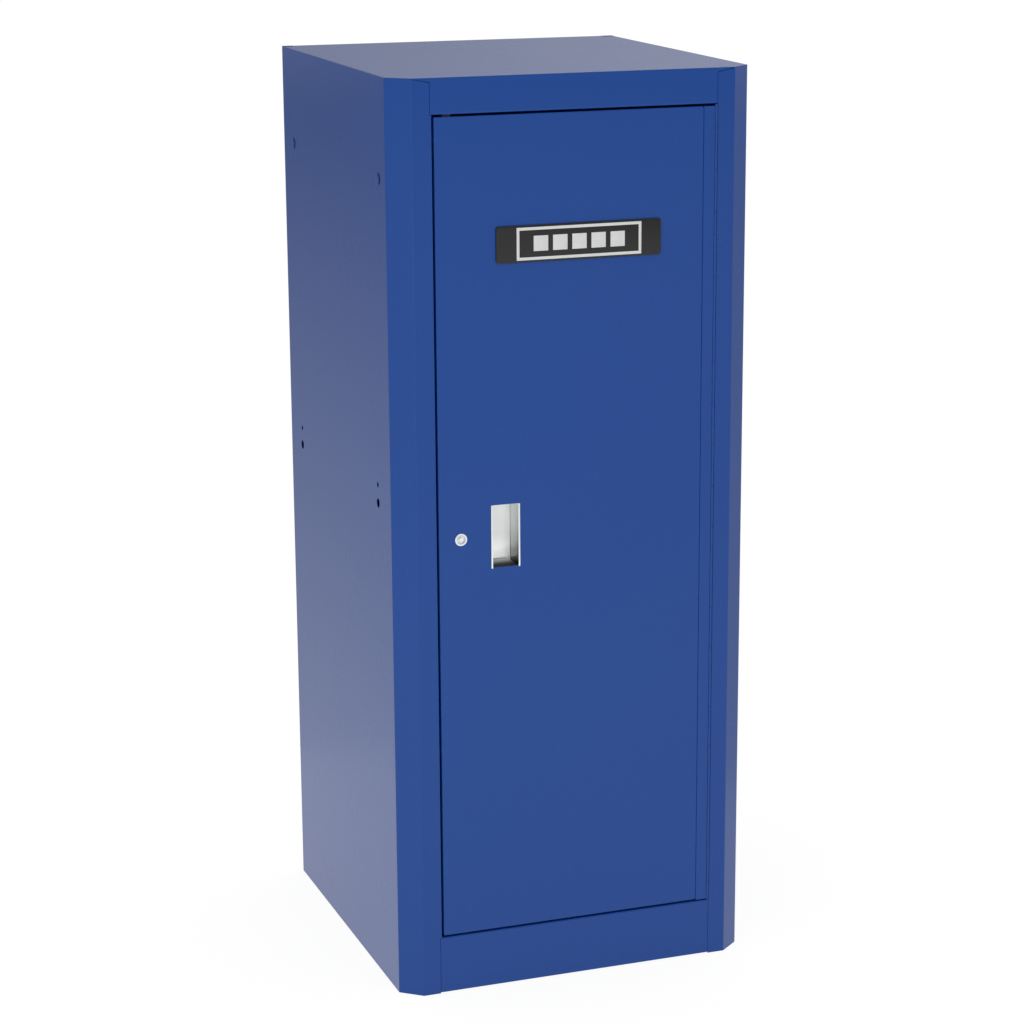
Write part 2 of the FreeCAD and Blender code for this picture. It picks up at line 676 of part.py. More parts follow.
def shelf_standard(label, sign, centre):
    """Slotted channel that carries the shelf clips."""
    body = new_body(label)
    wall = SIDE_INNER
    face = minus(wall, size("standard_deep"))
    web = plus(face, size("standard_gauge"))
    low = minus(centre, size("standard_wide / 2"))
    high = plus(centre, size("standard_wide / 2"))
    leg = size("standard_gauge")
    outline = [
        (times(sign, wall), low), (times(sign, face), low), (times(sign, face), high),
        (times(sign, wall), high), (times(sign, wall), minus(high, leg)),
        (times(sign, web), minus(high, leg)), (times(sign, web), plus(low, leg)),
        (times(sign, wall), plus(low, leg)),
    ]
    foot = plus(OPEN_LOW, size("standard_foot"))
    head = minus(TOP, size("standard_top"))
    pad(body, "plan", [outline], foot, head)
    first = plus(foot, size("slot_first"))
    slot = rectangle(minus(centre, size("slot_wide / 2")), plus(centre, size("slot_wide / 2")),
                     minus(first, size("slot_tall / 2")), plus(first, size("slot_tall / 2")))
    sides = sorted((times(sign, minus(face, leg)), times(sign, plus(web, leg))), key=number)
    opening = pocket(body, "side", [slot], sides[0], sides[1])
    row = body.newObject("PartDesign::LinearPattern", f"{label}_slots")
    row.Originals = [opening]
    up = [item for item in body.Origin.OriginFeatures if item.Role == "Z_Axis"][0]
    row.Direction = (up, [""])
    count = f"floor(({head} - {first} - {size('slot_tall')}) / {size('slot_pitch')}) + 1"
    bind(row, "Occurrences", count)
    bind(row, "Length", f"(floor(({head} - {first} - {size('slot_tall')}) / {size('slot_pitch')}))"
                        f" * {size('slot_pitch')}")
    body.Tip = row
    return body


def slot_height(slot):
    return plus(OPEN_LOW, size(f"standard_foot + slot_first + slot_pitch * {slot}"))


FRONT_STANDARD = plus(FRONT, size("standard_front"))
REAR_STANDARD = minus(REAR, size("standard_rear"))
STANDARD_FACE = minus(SIDE_INNER, size("standard_deep"))


def ledge_height(slot):
    return plus(minus(slot_height(slot), size("clip_tall / 2")), size("clip_gauge"))


def shelf_clips(label, slot):
    """Four clips hooked into the standards under one shelf."""
    clips = []
    hook = slot_height(slot)
    low = minus(hook, size("clip_tall / 2"))
    high = plus(hook, size("clip_tall / 2"))
    plate = minus(STANDARD_FACE, size("clip_gauge"))
    ledge = minus(plate, size("clip_ledge"))
    beyond = plus(STANDARD_FACE, size("clip_hook"))
    for sign, side in ((-1, "left"), (1, "right")):
        for place, centre in (("front", FRONT_STANDARD), ("rear", REAR_STANDARD)):
            name = f"{label}_{side}_{place}"
            wide = (minus(centre, size("clip_wide / 2")), plus(centre, size("clip_wide / 2")))
            slim = (minus(centre, size("slot_wide / 2 - pin_clear")),
                    plus(centre, size("slot_wide / 2 - pin_clear")))

            def across(inner, outer):
                return sorted((times(sign, inner), times(sign, outer)), key=number)

            clips.append(fuse(name, [
                box(f"{name}_plate", across(plate, STANDARD_FACE), wide, (low, high)),
                box(f"{name}_ledge", across(ledge, STANDARD_FACE), wide,
                    (low, plus(low, size("clip_gauge")))),
                box(f"{name}_tongue", across(plate, beyond), slim,
                    (minus(hook, size("clip_tongue / 2")), plus(hook, size("clip_tongue / 2")))),
            ]))
    return group(label, clips)


def shelf(label, slot):
    """Folded shelf whose side flanges stand on the clips' ledges."""
    body = new_body(label)
    half = minus(STANDARD_FACE, size("clip_gauge + shelf_gap"))
    front = plus(FRONT, size("shelf_front"))
    rear = minus(BACK_INNER, size("shelf_rear"))
    ledge = ledge_height(slot)
    top = plus(ledge, size("shelf_side"))
    low = minus(top, size("shelf_edge"))
    pad(body, "plan", [rectangle(times(-1, half), half, front, rear)], low, top)
    inside = rectangle(times(-1, minus(half, T)), minus(half, T), plus(front, T), minus(rear, T))
    pocket(body, "plan", [inside], low, minus(top, T))
    for sign in (-1, 1):
        sides = sorted((times(sign, minus(half, T)), times(sign, plus(half, T))), key=number)
        pocket(body, "front", [rectangle(sides[0], sides[1], minus(low, T), ledge)],
               plus(front, T), minus(rear, T))
    hem = rectangle(times(-1, half), half, front, plus(front, size("shelf_hem")))
    pad(body, "plan", [hem], low, plus(low, T))
    round_edges(body, size("gauge"), lambda edge: (
        lies(edge, y=number(front), z=number(top)) or lies(edge, y=number(rear), z=number(top))))
    return body


def door_bumpers():
    """Rubber buttons on the left door stop."""
    bumpers = []
    centre = plus(JAMB_LEFT, size("stop_width / 2"))
    for place, height in (("low", size("bumper_low")), ("high", size("height - bumper_drop"))):
        bumpers.append(cylinder(f"bumper_{place}", "y", (centre, height),
                                plus(DOOR_BACK, size("catch_gap")), STOP_FACE, size("bumper")))
    return group("door_bumpers", bumpers)


CATCH_LEFT = plus(plus(JAMB_LEFT, size("stop_width")), size("seam"))
CATCH_RIGHT = plus(CATCH_LEFT, size("catch_wide"))
CATCH_FRONT = plus(DOOR_BACK, size("catch_gap"))
CATCH_BACK = plus(CATCH_FRONT, size("catch_deep"))
CATCH_LOW = size("height - catch_drop - catch_tall / 2")
CATCH_HIGH = size("height - catch_drop + catch_tall / 2")


def magnetic_catch():
    """Case with an ear behind the stop flange, a magnet between two pole plates, two screws."""
    wall = size("catch_wall")
    inner_left = plus(CATCH_LEFT, wall)
    inner_right = minus(CATCH_RIGHT, wall)
    inner_low = plus(CATCH_LOW, wall)
    inner_high = minus(CATCH_HIGH, wall)
    inner_back = minus(CATCH_BACK, wall)
    ear_left = plus(JAMB_LEFT, size("gauge / 2"))
    ear_back = plus(STOP_BACK, size("catch_wall * 2"))
    shell = fuse("catch_shell", [
        box("catch_block", (CATCH_LEFT, CATCH_RIGHT), (CATCH_FRONT, CATCH_BACK),
            (CATCH_LOW, CATCH_HIGH)),
        box("catch_ear", (ear_left, CATCH_RIGHT), (STOP_BACK, ear_back), (CATCH_LOW, CATCH_HIGH)),
    ])
    hollow = box("catch_hollow", (inner_left, inner_right), (minus(CATCH_FRONT, wall), inner_back),
                 (inner_low, inner_high))
    screw_x = plus(JAMB_LEFT, size("stop_width / 2"))
    heights = {"low": plus(CATCH_LOW, size("fix_head * 3")),
               "high": minus(CATCH_HIGH, size("fix_head * 3"))}
    bores = [cylinder(f"catch_bore_{end}", "y", (screw_x, height), minus(STOP_BACK, T),
                      plus(ear_back, wall), size("fix_radius")) for end, height in heights.items()]
    keep("catch_case", cut("catch_case", shell, fuse("catch_cuts", [hollow] + bores)))

    pole_left = plus(inner_left, size("pole"))
    pole_right = minus(inner_right, size("pole"))
    tall = (inner_low, inner_high)
    deep = (CATCH_FRONT, inner_back)
    keep("catch_magnet", box("catch_magnet", (pole_left, pole_right),
                             (plus(CATCH_FRONT, size("seam")), inner_back), tall))
    group("catch_pole_plates", [
        box("pole_plate_left", (inner_left, pole_left), deep, tall),
        box("pole_plate_right", (pole_right, inner_right), deep, tall),
    ])
    screws = []
    for end, height in heights.items():
        centre = (screw_x, height)
        screws.append(fuse(f"catch_screw_{end}", [
            cylinder(f"catch_screw_{end}_shank", "y", centre, STOP_FACE, ear_back,
                     size("fix_radius")),
            cylinder(f"catch_screw_{end}_head", "y", centre, ear_back,
                     plus(ear_back, size("fix_radius")), size("fix_head")),
        ]))
    group("catch_screws", screws)
    holes = [((screw_x, height), size("fix_radius")) for height in heights.values()]
    pocket(nodes["left_side_panel"], "front", [], STOP_FACE, STOP_BACK, holes)


# ---------------------------------------------------------------- hinge

BARREL_LOW = plus(OPEN_LOW, size("barrel_end"))
BARREL_HIGH = minus(OPEN_HIGH, size("barrel_end"))
KNUCKLE = f"(({BARREL_HIGH} - {BARREL_LOW}) / {size('knuckles')})"
NOTCH = size("barrel + leaf_seam / 2 + pin_clear * 2")


def knuckle_span(index):
    """Low and high end of one knuckle, with its share of the gaps taken off."""
    half_gap = size("knuckle_gap / 2")
    low = f"({BARREL_LOW} + {index} * {KNUCKLE} + {half_gap})"
    high = f"({BARREL_LOW} + {index + 1} * {KNUCKLE} - {half_gap})"
    return low, high


def hinge_leaf(label, plate, bore, own, other, notch_depth, groove=None):
    """Leaf with every second knuckle; it is notched where the other leaf's knuckles run."""
    centre = (HINGE_X, HINGE_Y)
    pieces = [plate]
    notches = [groove] if groove else []
    for index in own:
        low, high = knuckle_span(index)
        pieces.append(cylinder(f"{label}_knuckle_{index}", "z", centre, low, high,
                               size("barrel")))
    for index in other:
        low, high = knuckle_span(index)
        notches.append(box(f"{label}_notch_{index}",
                           (minus(HINGE_X, NOTCH), plus(HINGE_X, NOTCH)),
                           (minus(HINGE_Y, NOTCH), plus(HINGE_Y, notch_depth)),
                           (minus(low, size("knuckle_gap")), plus(high, size("knuckle_gap")))))
    notches.append(cylinder(f"{label}_bore", "z", centre, minus(BARREL_LOW, T),
                            plus(BARREL_HIGH, T), bore))
    return keep(label, cut(label, fuse(f"{label}_blank", pieces), fuse(f"{label}_cuts", notches)))


def hinge():
    count = int(number(size("knuckles")))
    frame_side = range(0, count, 2)
    door_side = range(1, count, 2)
    door_plate = box("door_leaf_plate", (STRIP_LEFT, HINGE_X), (FRONT, LEAF_BACK),
                     (LEAF_LOW, DOOR_HIGH))
    frame_plate = box("frame_leaf_plate", (minus(JAMB_RIGHT, size("leaf")), JAMB_RIGHT),
                      (HINGE_Y, plus(HINGE_Y, size("leaf_reach"))), (BARREL_LOW, BARREL_HIGH))
    groove = box("hinge_groove", (minus(HINGE_X, NOTCH), minus(HINGE_X, size("barrel - leaf_seam"))),
                 (minus(HINGE_Y, NOTCH), plus(FRONT, size("hinge_groove"))),
                 (minus(LEAF_LOW, T), plus(DOOR_HIGH, T)))
    hinge_leaf("hinge_door_leaf", door_plate, size("pin + pin_clear"), door_side, frame_side,
               NOTCH, groove)
    hinge_leaf("hinge_frame_leaf", frame_plate, size("pin"), frame_side, door_side, NOTCH)
    keep("hinge_pin", cylinder("hinge_pin", "z", (HINGE_X, HINGE_Y), BARREL_LOW, BARREL_HIGH,
                               size("pin")))


# ---------------------------------------------------------------- door

CUP_LEFT = plus(LEFT, size("cup_left"))
CUP_RIGHT = plus(CUP_LEFT, size("cup_width"))
CUP_IN_LEFT = plus(CUP_LEFT, size("cup_lip"))
CUP_IN_RIGHT = minus(CUP_RIGHT, size("cup_lip"))
CUP_OUT_LEFT = minus(CUP_IN_LEFT, size("cup_gauge"))
CUP_OUT_RIGHT = plus(CUP_IN_RIGHT, size("cup_gauge"))
CUP_LOW = size("cup_low")
CUP_HIGH = size("cup_low + cup_tall")
CUP_FRONT = minus(FRONT, size("cup_gauge"))
CUP_BACK = plus(FRONT, size("cup_depth"))
PLATE_LEFT = plus(LEFT, size("plate_left"))
PLATE_RIGHT = plus(PLATE_LEFT, size("plate_width"))
PLATE_LOW = size("height - plate_drop - plate_tall")
PLATE_HIGH = size("height - plate_drop")
PLATE_FRONT = minus(FRONT, size("plate_thick"))
STUD_SPOTS = [(plus(PLATE_LEFT, size("stud_inset")), middle(PLATE_LOW, PLATE_HIGH)),
              (minus(PLATE_RIGHT, size("stud_inset")), middle(PLATE_LOW, PLATE_HIGH))]


def door_skin():
    """Door pan: front with a joggle for the hinge leaf, side, top and bottom returns."""
    body = new_body("door_skin")
    joggle_back = plus(LEAF_BACK, T)
    section = [
        (DOOR_LEFT, DOOR_BACK), (DOOR_LEFT, FRONT), (SKIN_RIGHT, FRONT), (SKIN_RIGHT, LEAF_BACK),
        (DOOR_RIGHT, LEAF_BACK), (DOOR_RIGHT, DOOR_BACK), (minus(DOOR_RIGHT, T), DOOR_BACK),
        (minus(DOOR_RIGHT, T), joggle_back), (minus(SKIN_RIGHT, T), joggle_back),
        (minus(SKIN_RIGHT, T), SKIN_BACK), (plus(DOOR_LEFT, T), SKIN_BACK),
        (plus(DOOR_LEFT, T), DOOR_BACK),
    ]
    pad(body, "plan", [section], DOOR_LOW, DOOR_HIGH)
    end = [
        (DOOR_LEFT, DOOR_BACK), (DOOR_LEFT, FRONT), (SKIN_RIGHT, FRONT), (SKIN_RIGHT, LEAF_BACK),
        (DOOR_RIGHT, LEAF_BACK), (DOOR_RIGHT, DOOR_BACK),
    ]
    pad(body, "plan", [end], DOOR_LOW, plus(DOOR_LOW, T))
    pad(body, "plan", [end], minus(DOOR_HIGH, T), DOOR_HIGH)
    ends = (number(DOOR_LOW), number(DOOR_HIGH))
    sides = (number(DOOR_LEFT), number(SKIN_RIGHT))
    round_edges(body, size("door_round"), lambda edge: any(
        lies(edge, x=side, z=end) for side in sides for end in ends))
    round_edges(body, size("gauge * 0.8"), lambda edge: (
        lies(edge, x=sides[0], y=number(FRONT))
        or any(lies(edge, y=number(FRONT), z=end) for end in ends)))
    clear = size("cup_clear")
    cup_hole = rectangle(minus(CUP_OUT_LEFT, clear), plus(CUP_OUT_RIGHT, clear),
                         CUP_LOW, CUP_HIGH)
    holes = [(LOCK, size("lock_barrel + plug_run"))]
    holes += [(spot, size("stud + plug_run")) for spot in STUD_SPOTS]
    pocket(body, "front", [cup_hole], FRONT, SKIN_BACK, holes)
    pocket(body, "plan", [rod_slot(ROD_UPPER_X)], minus(DOOR_HIGH, T), DOOR_HIGH)
    pocket(body, "plan", [rod_slot(ROD_LOWER_X)], DOOR_LOW, plus(DOOR_LOW, T))
    relief = size("skin_relief")
    for end, inner in ((DOOR_LOW, plus(DOOR_LOW, relief)), (DOOR_HIGH, minus(DOOR_HIGH, relief))):
        corner = [(minus(SKIN_RIGHT, relief), end), (SKIN_RIGHT, end), (SKIN_RIGHT, inner)]
        pocket(body, "front", [corner], FRONT, plus(FRONT, size("relief_deep")))
    return body


def hat_section(centre, crown, foot, back, wall):
    """Plan outline of a hat channel on the back of the door skin."""
    left = minus(centre, crown)
    right = plus(centre, crown)
    base = plus(SKIN_BACK, wall)
    return [
        (minus(left, foot), SKIN_BACK), (plus(left, wall), SKIN_BACK),
        (plus(left, wall), minus(back, wall)), (minus(right, wall), minus(back, wall)),
        (minus(right, wall), SKIN_BACK), (plus(right, foot), SKIN_BACK), (plus(right, foot), base),
        (right, base), (right, back), (left, back), (left, base), (minus(left, foot), base),
    ]


def door_stiffener():
    """Hat channel down the back of the door."""
    body = new_body("door_stiffener")
    section = hat_section(plus(LEFT, size("stiff_left")), size("stiff_wide / 2"), size("stiff_foot"),
                          plus(SKIN_BACK, size("stiff_deep")), T)
    pad(body, "plan", [section], plus(DOOR_LOW, size("stiff_end")),
        minus(DOOR_HIGH, size("stiff_end")))
    return body


def pull_cup():
    """Pressed cup with a lip down each side; finger hold of the door."""
    body = new_body("pull_cup")
    wall = size("cup_gauge")
    outer = rectangle(CUP_OUT_LEFT, CUP_OUT_RIGHT, minus(CUP_LOW, wall), plus(CUP_HIGH, wall))
    inner = rectangle(CUP_IN_LEFT, CUP_IN_RIGHT, CUP_LOW, CUP_HIGH)
    pad(body, "front", [outer], SKIN_BACK, plus(CUP_BACK, wall))
    throat_low = plus(CUP_LOW, size("cup_clear"))
    throat_high = minus(CUP_HIGH, size("cup_clear"))
    sides = ((CUP_LEFT, CUP_OUT_LEFT, CUP_IN_LEFT), (CUP_RIGHT, CUP_OUT_RIGHT, CUP_IN_RIGHT))
    for lip_end, outside, inside in sides:
        edges = sorted((outside, inside), key=number)
        pad(body, "front", [rectangle(edges[0], edges[1], throat_low, throat_high)],
            FRONT, SKIN_BACK)
        edges = sorted((lip_end, inside), key=number)
        pad(body, "front", [rectangle(edges[0], edges[1], minus(CUP_LOW, wall), CUP_HIGH)],
            CUP_FRONT, FRONT)
    pocket(body, "front", [inner], SKIN_BACK, CUP_BACK)
    round_edges(body, size("cup_round"),
                lambda edge: lies(edge, y=number(CUP_BACK), z=number(CUP_LOW)))
    return body


def pull_cup_clips():
    """Spring clips that hold the cup against the back of the skin."""
    clips = []
    low = plus(CUP_LOW, size("cup_tall / 3"))
    high = plus(CUP_LOW, size("cup_tall * 2 / 3"))
    wall = size("clip_gauge / 2")
    foot = size("guide_foot")
    for side, sign, face in (("left", -1, CUP_OUT_LEFT), ("right", 1, CUP_OUT_RIGHT)):

        def beside(reach):
            return sorted((face, plus(face, times(sign, reach))), key=number)

        name = f"cup_clip_{side}"
        clips.append(fuse(name, [
            box(f"{name}_leg", beside(wall), (SKIN_BACK, plus(SKIN_BACK, foot)), (low, high)),
            box(f"{name}_foot", beside(foot), (SKIN_BACK, plus(SKIN_BACK, wall)), (low, high)),
        ]))
    return group("pull_cup_clips", clips)


def name_plate():
    """Bare plate with two studs through the door skin."""
    body = new_body("name_plate")
    pad(body, "front", [rectangle(PLATE_LEFT, PLATE_RIGHT, PLATE_LOW, PLATE_HIGH)],
        PLATE_FRONT, FRONT)
    ends = (number(PLATE_LEFT), number(PLATE_RIGHT))
    edges = (number(PLATE_LOW), number(PLATE_HIGH))
    round_edges(body, size("plate_round"), lambda edge: any(
        lies(edge, x=end, z=place) for end in ends for place in edges))
    studs = [(spot, size("stud")) for spot in STUD_SPOTS]
    pad(body, "front", [], minus(FRONT, size("plate_thick / 2")),
        plus(SKIN_BACK, size("push_thick * 2")), studs)
    return body


def plate_relief():
    """Plain border and a row of plain bars, raised on the name plate."""
    border = new_body("plate_border")
    raised = minus(PLATE_FRONT, size("relief"))
    left = plus(PLATE_LEFT, size("border_end"))
    right = minus(PLATE_RIGHT, size("border_end"))
    low = plus(PLATE_LOW, size("border_edge"))
    high = minus(PLATE_HIGH, size("border_edge"))
    line = size("border_line")
    inner = rectangle(plus(left, line), minus(right, line), plus(low, line), minus(high, line))
    pad(border, "front", [rectangle(left, right, low, high)], raised, PLATE_FRONT)
    pocket(border, "front", [inner], raised, PLATE_FRONT)
    bars = []
    middle_x = middle(PLATE_LEFT, PLATE_RIGHT)
    middle_z = middle(PLATE_LOW, PLATE_HIGH)
    tall = (minus(middle_z, size("bar_tall / 2")), plus(middle_z, size("bar_tall / 2")))
    for step in range(-2, 3):
        start = f"({middle_x} + {step} * {size('bar_wide + bar_gap')} - {size('bar_wide / 2')})"
        bars.append(box(f"plate_bar_{step + 2}", (start, plus(start, size("bar_wide"))),
                        (raised, PLATE_FRONT), tall))
    group("plate_bars", bars)


def push_nuts():
    nuts = []
    for index, spot in enumerate(STUD_SPOTS):
        disc = cylinder(f"push_nut_disc_{index}", "y", spot, SKIN_BACK,
                        plus(SKIN_BACK, size("push_thick")), size("push_nut"))
        bore = cylinder(f"push_nut_bore_{index}", "y", spot, FRONT, plus(SKIN_BACK, T),
                        size("stud"))
        nuts.append(cut(f"push_nut_{index}", disc, bore))
    return group("push_nuts", nuts)


def strike_plate():
    """Angle on the door's free edge that the magnet pulls on."""
    inside = plus(DOOR_LEFT, T)
    wall = size("strike")
    tall = (plus(CATCH_LOW, wall), minus(CATCH_HIGH, wall))
    return keep("strike_plate", fuse("strike_plate", [
        box("strike_foot", (inside, plus(inside, wall)),
            (minus(DOOR_BACK, size("strike_foot")), DOOR_BACK), tall),
        box("strike_face", (inside, CATCH_RIGHT), (minus(DOOR_BACK, wall), DOOR_BACK), tall),
    ]))


def rod_guides():
    """Hat straps on the back of the skin that the lock rods slide in."""
    guides = []
    wall = T
    crown = size("rod_width / 2 + rod_run + gauge")
    back = plus(ROD_BACK, size("rod_run + gauge"))
    front = minus(ROD_FRONT, size("rod_run"))
    places = [
        ("upper_far", ROD_UPPER_X, minus(DOOR_HIGH, size("guide_inset"))),
        ("upper_near", ROD_UPPER_X, plus(LOCK_Z, size("guide_near"))),
        ("lower_near", ROD_LOWER_X, minus(LOCK_Z, size("guide_near"))),
        ("lower_far", ROD_LOWER_X, plus(DOOR_LOW, size("guide_inset"))),
    ]
    half = size("guide_tall / 2")
    for place, centre, height in places:
        name = f"rod_guide_{place}"
        left = minus(centre, crown)
        right = plus(centre, crown)
        foot = size("guide_foot")
        tall = (minus(height, half), plus(height, half))
        guides.append(fuse(name, [
            box(f"{name}_left_foot", (minus(left, foot), plus(left, wall)),
                (SKIN_BACK, plus(SKIN_BACK, wall)), tall),
            box(f"{name}_right_foot", (minus(right, wall), plus(right, foot)),
                (SKIN_BACK, plus(SKIN_BACK, wall)), tall),
            box(f"{name}_left_leg", (left, plus(left, wall)), (SKIN_BACK, back), tall),
            box(f"{name}_right_leg", (minus(right, wall), right), (SKIN_BACK, back), tall),
            box(f"{name}_crown", (left, right), (minus(back, wall), back), tall),
            box(f"{name}_bridge", (left, right), (minus(front, wall), front), tall),
        ]))
    return group("rod_guides", guides)


# ---------------------------------------------------------------- lock

def lock_body():
    """Housing with its nut, and the plug that the key turns."""
    bore = size("plug_radius + plug_run")
    shell = fuse("lock_shell", [
        cylinder("lock_head_disc", "y", LOCK, LOCK_FRONT, FRONT, size("lock_head")),
        cylinder("lock_barrel_bar", "y", LOCK, LOCK_FRONT, LOCK_BACK, size("lock_barrel")),
    ])
    keep("lock_housing", cut("lock_housing", shell, cylinder(
        "lock_housing_bore", "y", LOCK, minus(LOCK_FRONT, T), plus(LOCK_BACK, T), bore)))

    nut = new_body("lock_nut")
    half = size("nut_flats / 2")
    flat = f"({half} / sqrt(3))"
    point = f"(2 * {half} / sqrt(3))"
    corners = [(point, None), (flat, half), (times(-1, flat), half), (times(-1, point), None),
               (times(-1, flat), times(-1, half)), (flat, times(-1, half))]
    hexagon = [(plus(LOCK_X, across), LOCK_Z if up is None else plus(LOCK_Z, up))
               for across, up in corners]
    pad(nut, "front", [hexagon], SKIN_BACK, plus(SKIN_BACK, size("nut_thick")))
    pocket(nut, "front", [], SKIN_BACK, plus(SKIN_BACK, size("nut_thick")),
           [(LOCK, size("lock_barrel"))])

    body_front = plus(LOCK_FRONT, size("keyway"))
    pins_end = plus(FRONT, size("lock_length / 2"))
    tail_end = minus(CAM_BACK, size("plug_sink / 2"))
    square = (minus(LOCK_X, size("tail / 2")), plus(LOCK_X, size("tail / 2")))
    upright = (minus(LOCK_Z, size("tail / 2")), plus(LOCK_Z, size("tail / 2")))
    blank = fuse("lock_plug_blank", [
        cylinder("plug_bar", "y", LOCK, body_front, plus(LOCK_BACK, size("cam_gap / 2")),
                 size("plug_radius")),
        cylinder("plug_post", "y", LOCK, plus(LOCK_FRONT, size("plug_sink")), body_front,
                 size("post_radius")),
        box("plug_tail", square, (LOCK_BACK, tail_end), upright),
    ])
    pin_spots = key_pin_spots()
    bores = [cylinder(f"key_pin_bore_{index}", "y", spot, LOCK_FRONT, pins_end, size("pin / 2"))
             for index, spot in enumerate(pin_spots)]
    bores.append(cylinder("plug_thread", "y", LOCK, plus(FRONT, size("lock_length / 2")),
                          plus(tail_end, T), size("screw_shank")))
    keep("lock_plug", cut("lock_plug", blank, fuse("lock_plug_cuts", bores)))
    group("key_pins", [
        cylinder(f"key_pin_{index}", "y", spot, plus(LOCK_FRONT, size("keyway * 3 / 4")),
                 pins_end, size("pin / 2"))
        for index, spot in enumerate(pin_spots)])


def key_pin_spots():
    """Seven pins on a circle halfway across the keyway."""
    circle = size("(post_radius + plug_radius) / 2")
    spots = []
    for index in range(KEY_PINS):
        turn = 360 * index / KEY_PINS
        spots.append((f"({LOCK_X} + {circle} * cos({turn} * 1 deg))",
                      f"({LOCK_Z} + {circle} * sin({turn} * 1 deg))"))
    return spots


def cam_point(sign, along, aside=0):
    """Point of the cam, measured along its arm and across it, in the unlocked position."""
    lean = f"cos({UNLOCKED_ANGLE} * 1 deg)"
    run = f"{sign} * ({along} + {aside} * {size('cam_end')}) * {lean}"
    rise = f"{sign} * ({along} - {aside} * {size('cam_end')}) * {lean}"
    return f"({LOCK_X} + {run})", f"({LOCK_Z} + {rise})"


def cam():
    """Two-armed cam on the plug's square tail, with its drive pins, washer and screw."""
    arm = size("cam_arm")
    pins = [cam_point(sign, arm) for sign in (-1, 1)]
    body = new_body("lock_cam")
    strap = [cam_point(-1, arm, 1), cam_point(-1, arm, -1), cam_point(1, arm, 1),
             cam_point(1, arm, -1)]
    pad(body, "front", [strap], CAM_FRONT, CAM_BACK)
    for spot in pins:
        pad(body, "front", [], CAM_FRONT, CAM_BACK, [(spot, size("cam_end"))])
    square = rectangle(minus(LOCK_X, size("tail / 2")), plus(LOCK_X, size("tail / 2")),
                       minus(LOCK_Z, size("tail / 2")), plus(LOCK_Z, size("tail / 2")))
    pocket(body, "front", [square], CAM_FRONT, CAM_BACK, [(spot, size("drive_pin")) for spot in pins])
    group("drive_pins", [
        cylinder(f"drive_pin_{index}", "y", spot, CAM_FRONT, plus(CAM_BACK, size("drive_reach")),
                 size("drive_pin")) for index, spot in enumerate(pins)])
    disc = cylinder("cam_washer_disc", "y", LOCK, CAM_BACK, WASHER_BACK, size("washer_radius"))
    hole = cylinder("cam_washer_hole", "y", LOCK, CAM_FRONT, plus(WASHER_BACK, T),
                    size("screw_shank"))
    keep("cam_washer", cut("cam_washer", disc, hole))
    keep("cam_screw", fuse("cam_screw", [
        cylinder("cam_screw_shank", "y", LOCK,
                 plus(FRONT, size("lock_length / 2 + cam_gap")), WASHER_BACK,
                 size("screw_shank")),
        cylinder("cam_screw_head", "y", LOCK, WASHER_BACK, plus(WASHER_BACK, size("cam_thick")),
                 size("screw_head")),
    ]))


def lock_rod(label, sign, edge):
    """Flat rod behind the cam: a forked end, then a straight run to the door's edge."""
    body = new_body(label)

    def up(formula):
        return f"({LOCK_Z} + {sign} * {formula})"

    def aside(formula):
        return f"({LOCK_X} - {sign} * {formula})"

    half_width = size("rod_width / 2")
    centre = aside(size("rod_side"))
    clear_screw = size("washer_radius + rod_cam")
    fork_out = size("cam_arm + drive_pin + fork_play * 5")
    fork_in = clear_screw
    pin_drop = f"({size('cam_arm')} * cos({UNLOCKED_ANGLE} * 1 deg))"
    slot_half = size("drive_pin + fork_play")
    prong = size("rod_thick * 1.2")
    fork_low = times(-1, f"({pin_drop} + {slot_half} + {prong})")
    neck = size("washer_radius + rod_thick")
    tip = plus(edge, times(sign, size("rod_stand")))
    run = [(ROD_FRONT, up(minus(neck, T))), (ROD_BACK, up(minus(neck, T))), (ROD_BACK, tip),
           (ROD_FRONT, tip)]
    pad(body, "side", [run], minus(centre, half_width), plus(centre, half_width))
    head = [(aside(fork_in), up(fork_low)), (aside(fork_out), up(fork_low)),
            (aside(fork_out), up(neck)), (aside(fork_in), up(neck))]
    pad(body, "front", [head], ROD_FRONT, ROD_BACK)
    slot_end = size("cam_arm + drive_pin + fork_play")
    slot = [
        (aside(minus(fork_in, T)), up(minus(times(-1, pin_drop), slot_half))),
        (aside(slot_end), up(minus(times(-1, pin_drop), slot_half))),
        (aside(slot_end), up(plus(times(-1, pin_drop), slot_half))),
        (aside(minus(fork_in, T)), up(plus(times(-1, pin_drop), slot_half))),
    ]
    pocket(body, "front", [slot], ROD_FRONT, ROD_BACK)
    return body


# ---------------------------------------------------------------- assembly

side_panel("left_side_panel", -1, "jamb_left")
side_panel("right_side_panel", 1, "jamb_right")
top_panel()
base_pan()
back_panel()
back_rivets()
hole_plugs()
for side_name, side_sign in (("left", -1), ("right", 1)):
    shelf_standard(f"shelf_standard_{side_name}_front", side_sign, FRONT_STANDARD)
    shelf_standard(f"shelf_standard_{side_name}_rear", side_sign, REAR_STANDARD)
for level, slot_alias in (("lower", "low_slot"), ("middle", "mid_slot"), ("upper", "high_slot")):
    shelf_clips(f"shelf_clips_{level}", slot_alias)
    shelf(f"shelf_{level}", slot_alias)
door_bumpers()
magnetic_catch()
hinge()
door_skin()
door_stiffener()
pull_cup()
pull_cup_clips()
name_plate()
plate_relief()
push_nuts()
strike_plate()
rod_guides()
lock_body()
cam()
lock_rod("upper_lock_rod", 1, DOOR_HIGH)
lock_rod("lower_lock_rod", -1, DOOR_LOW)

doc.recompute()

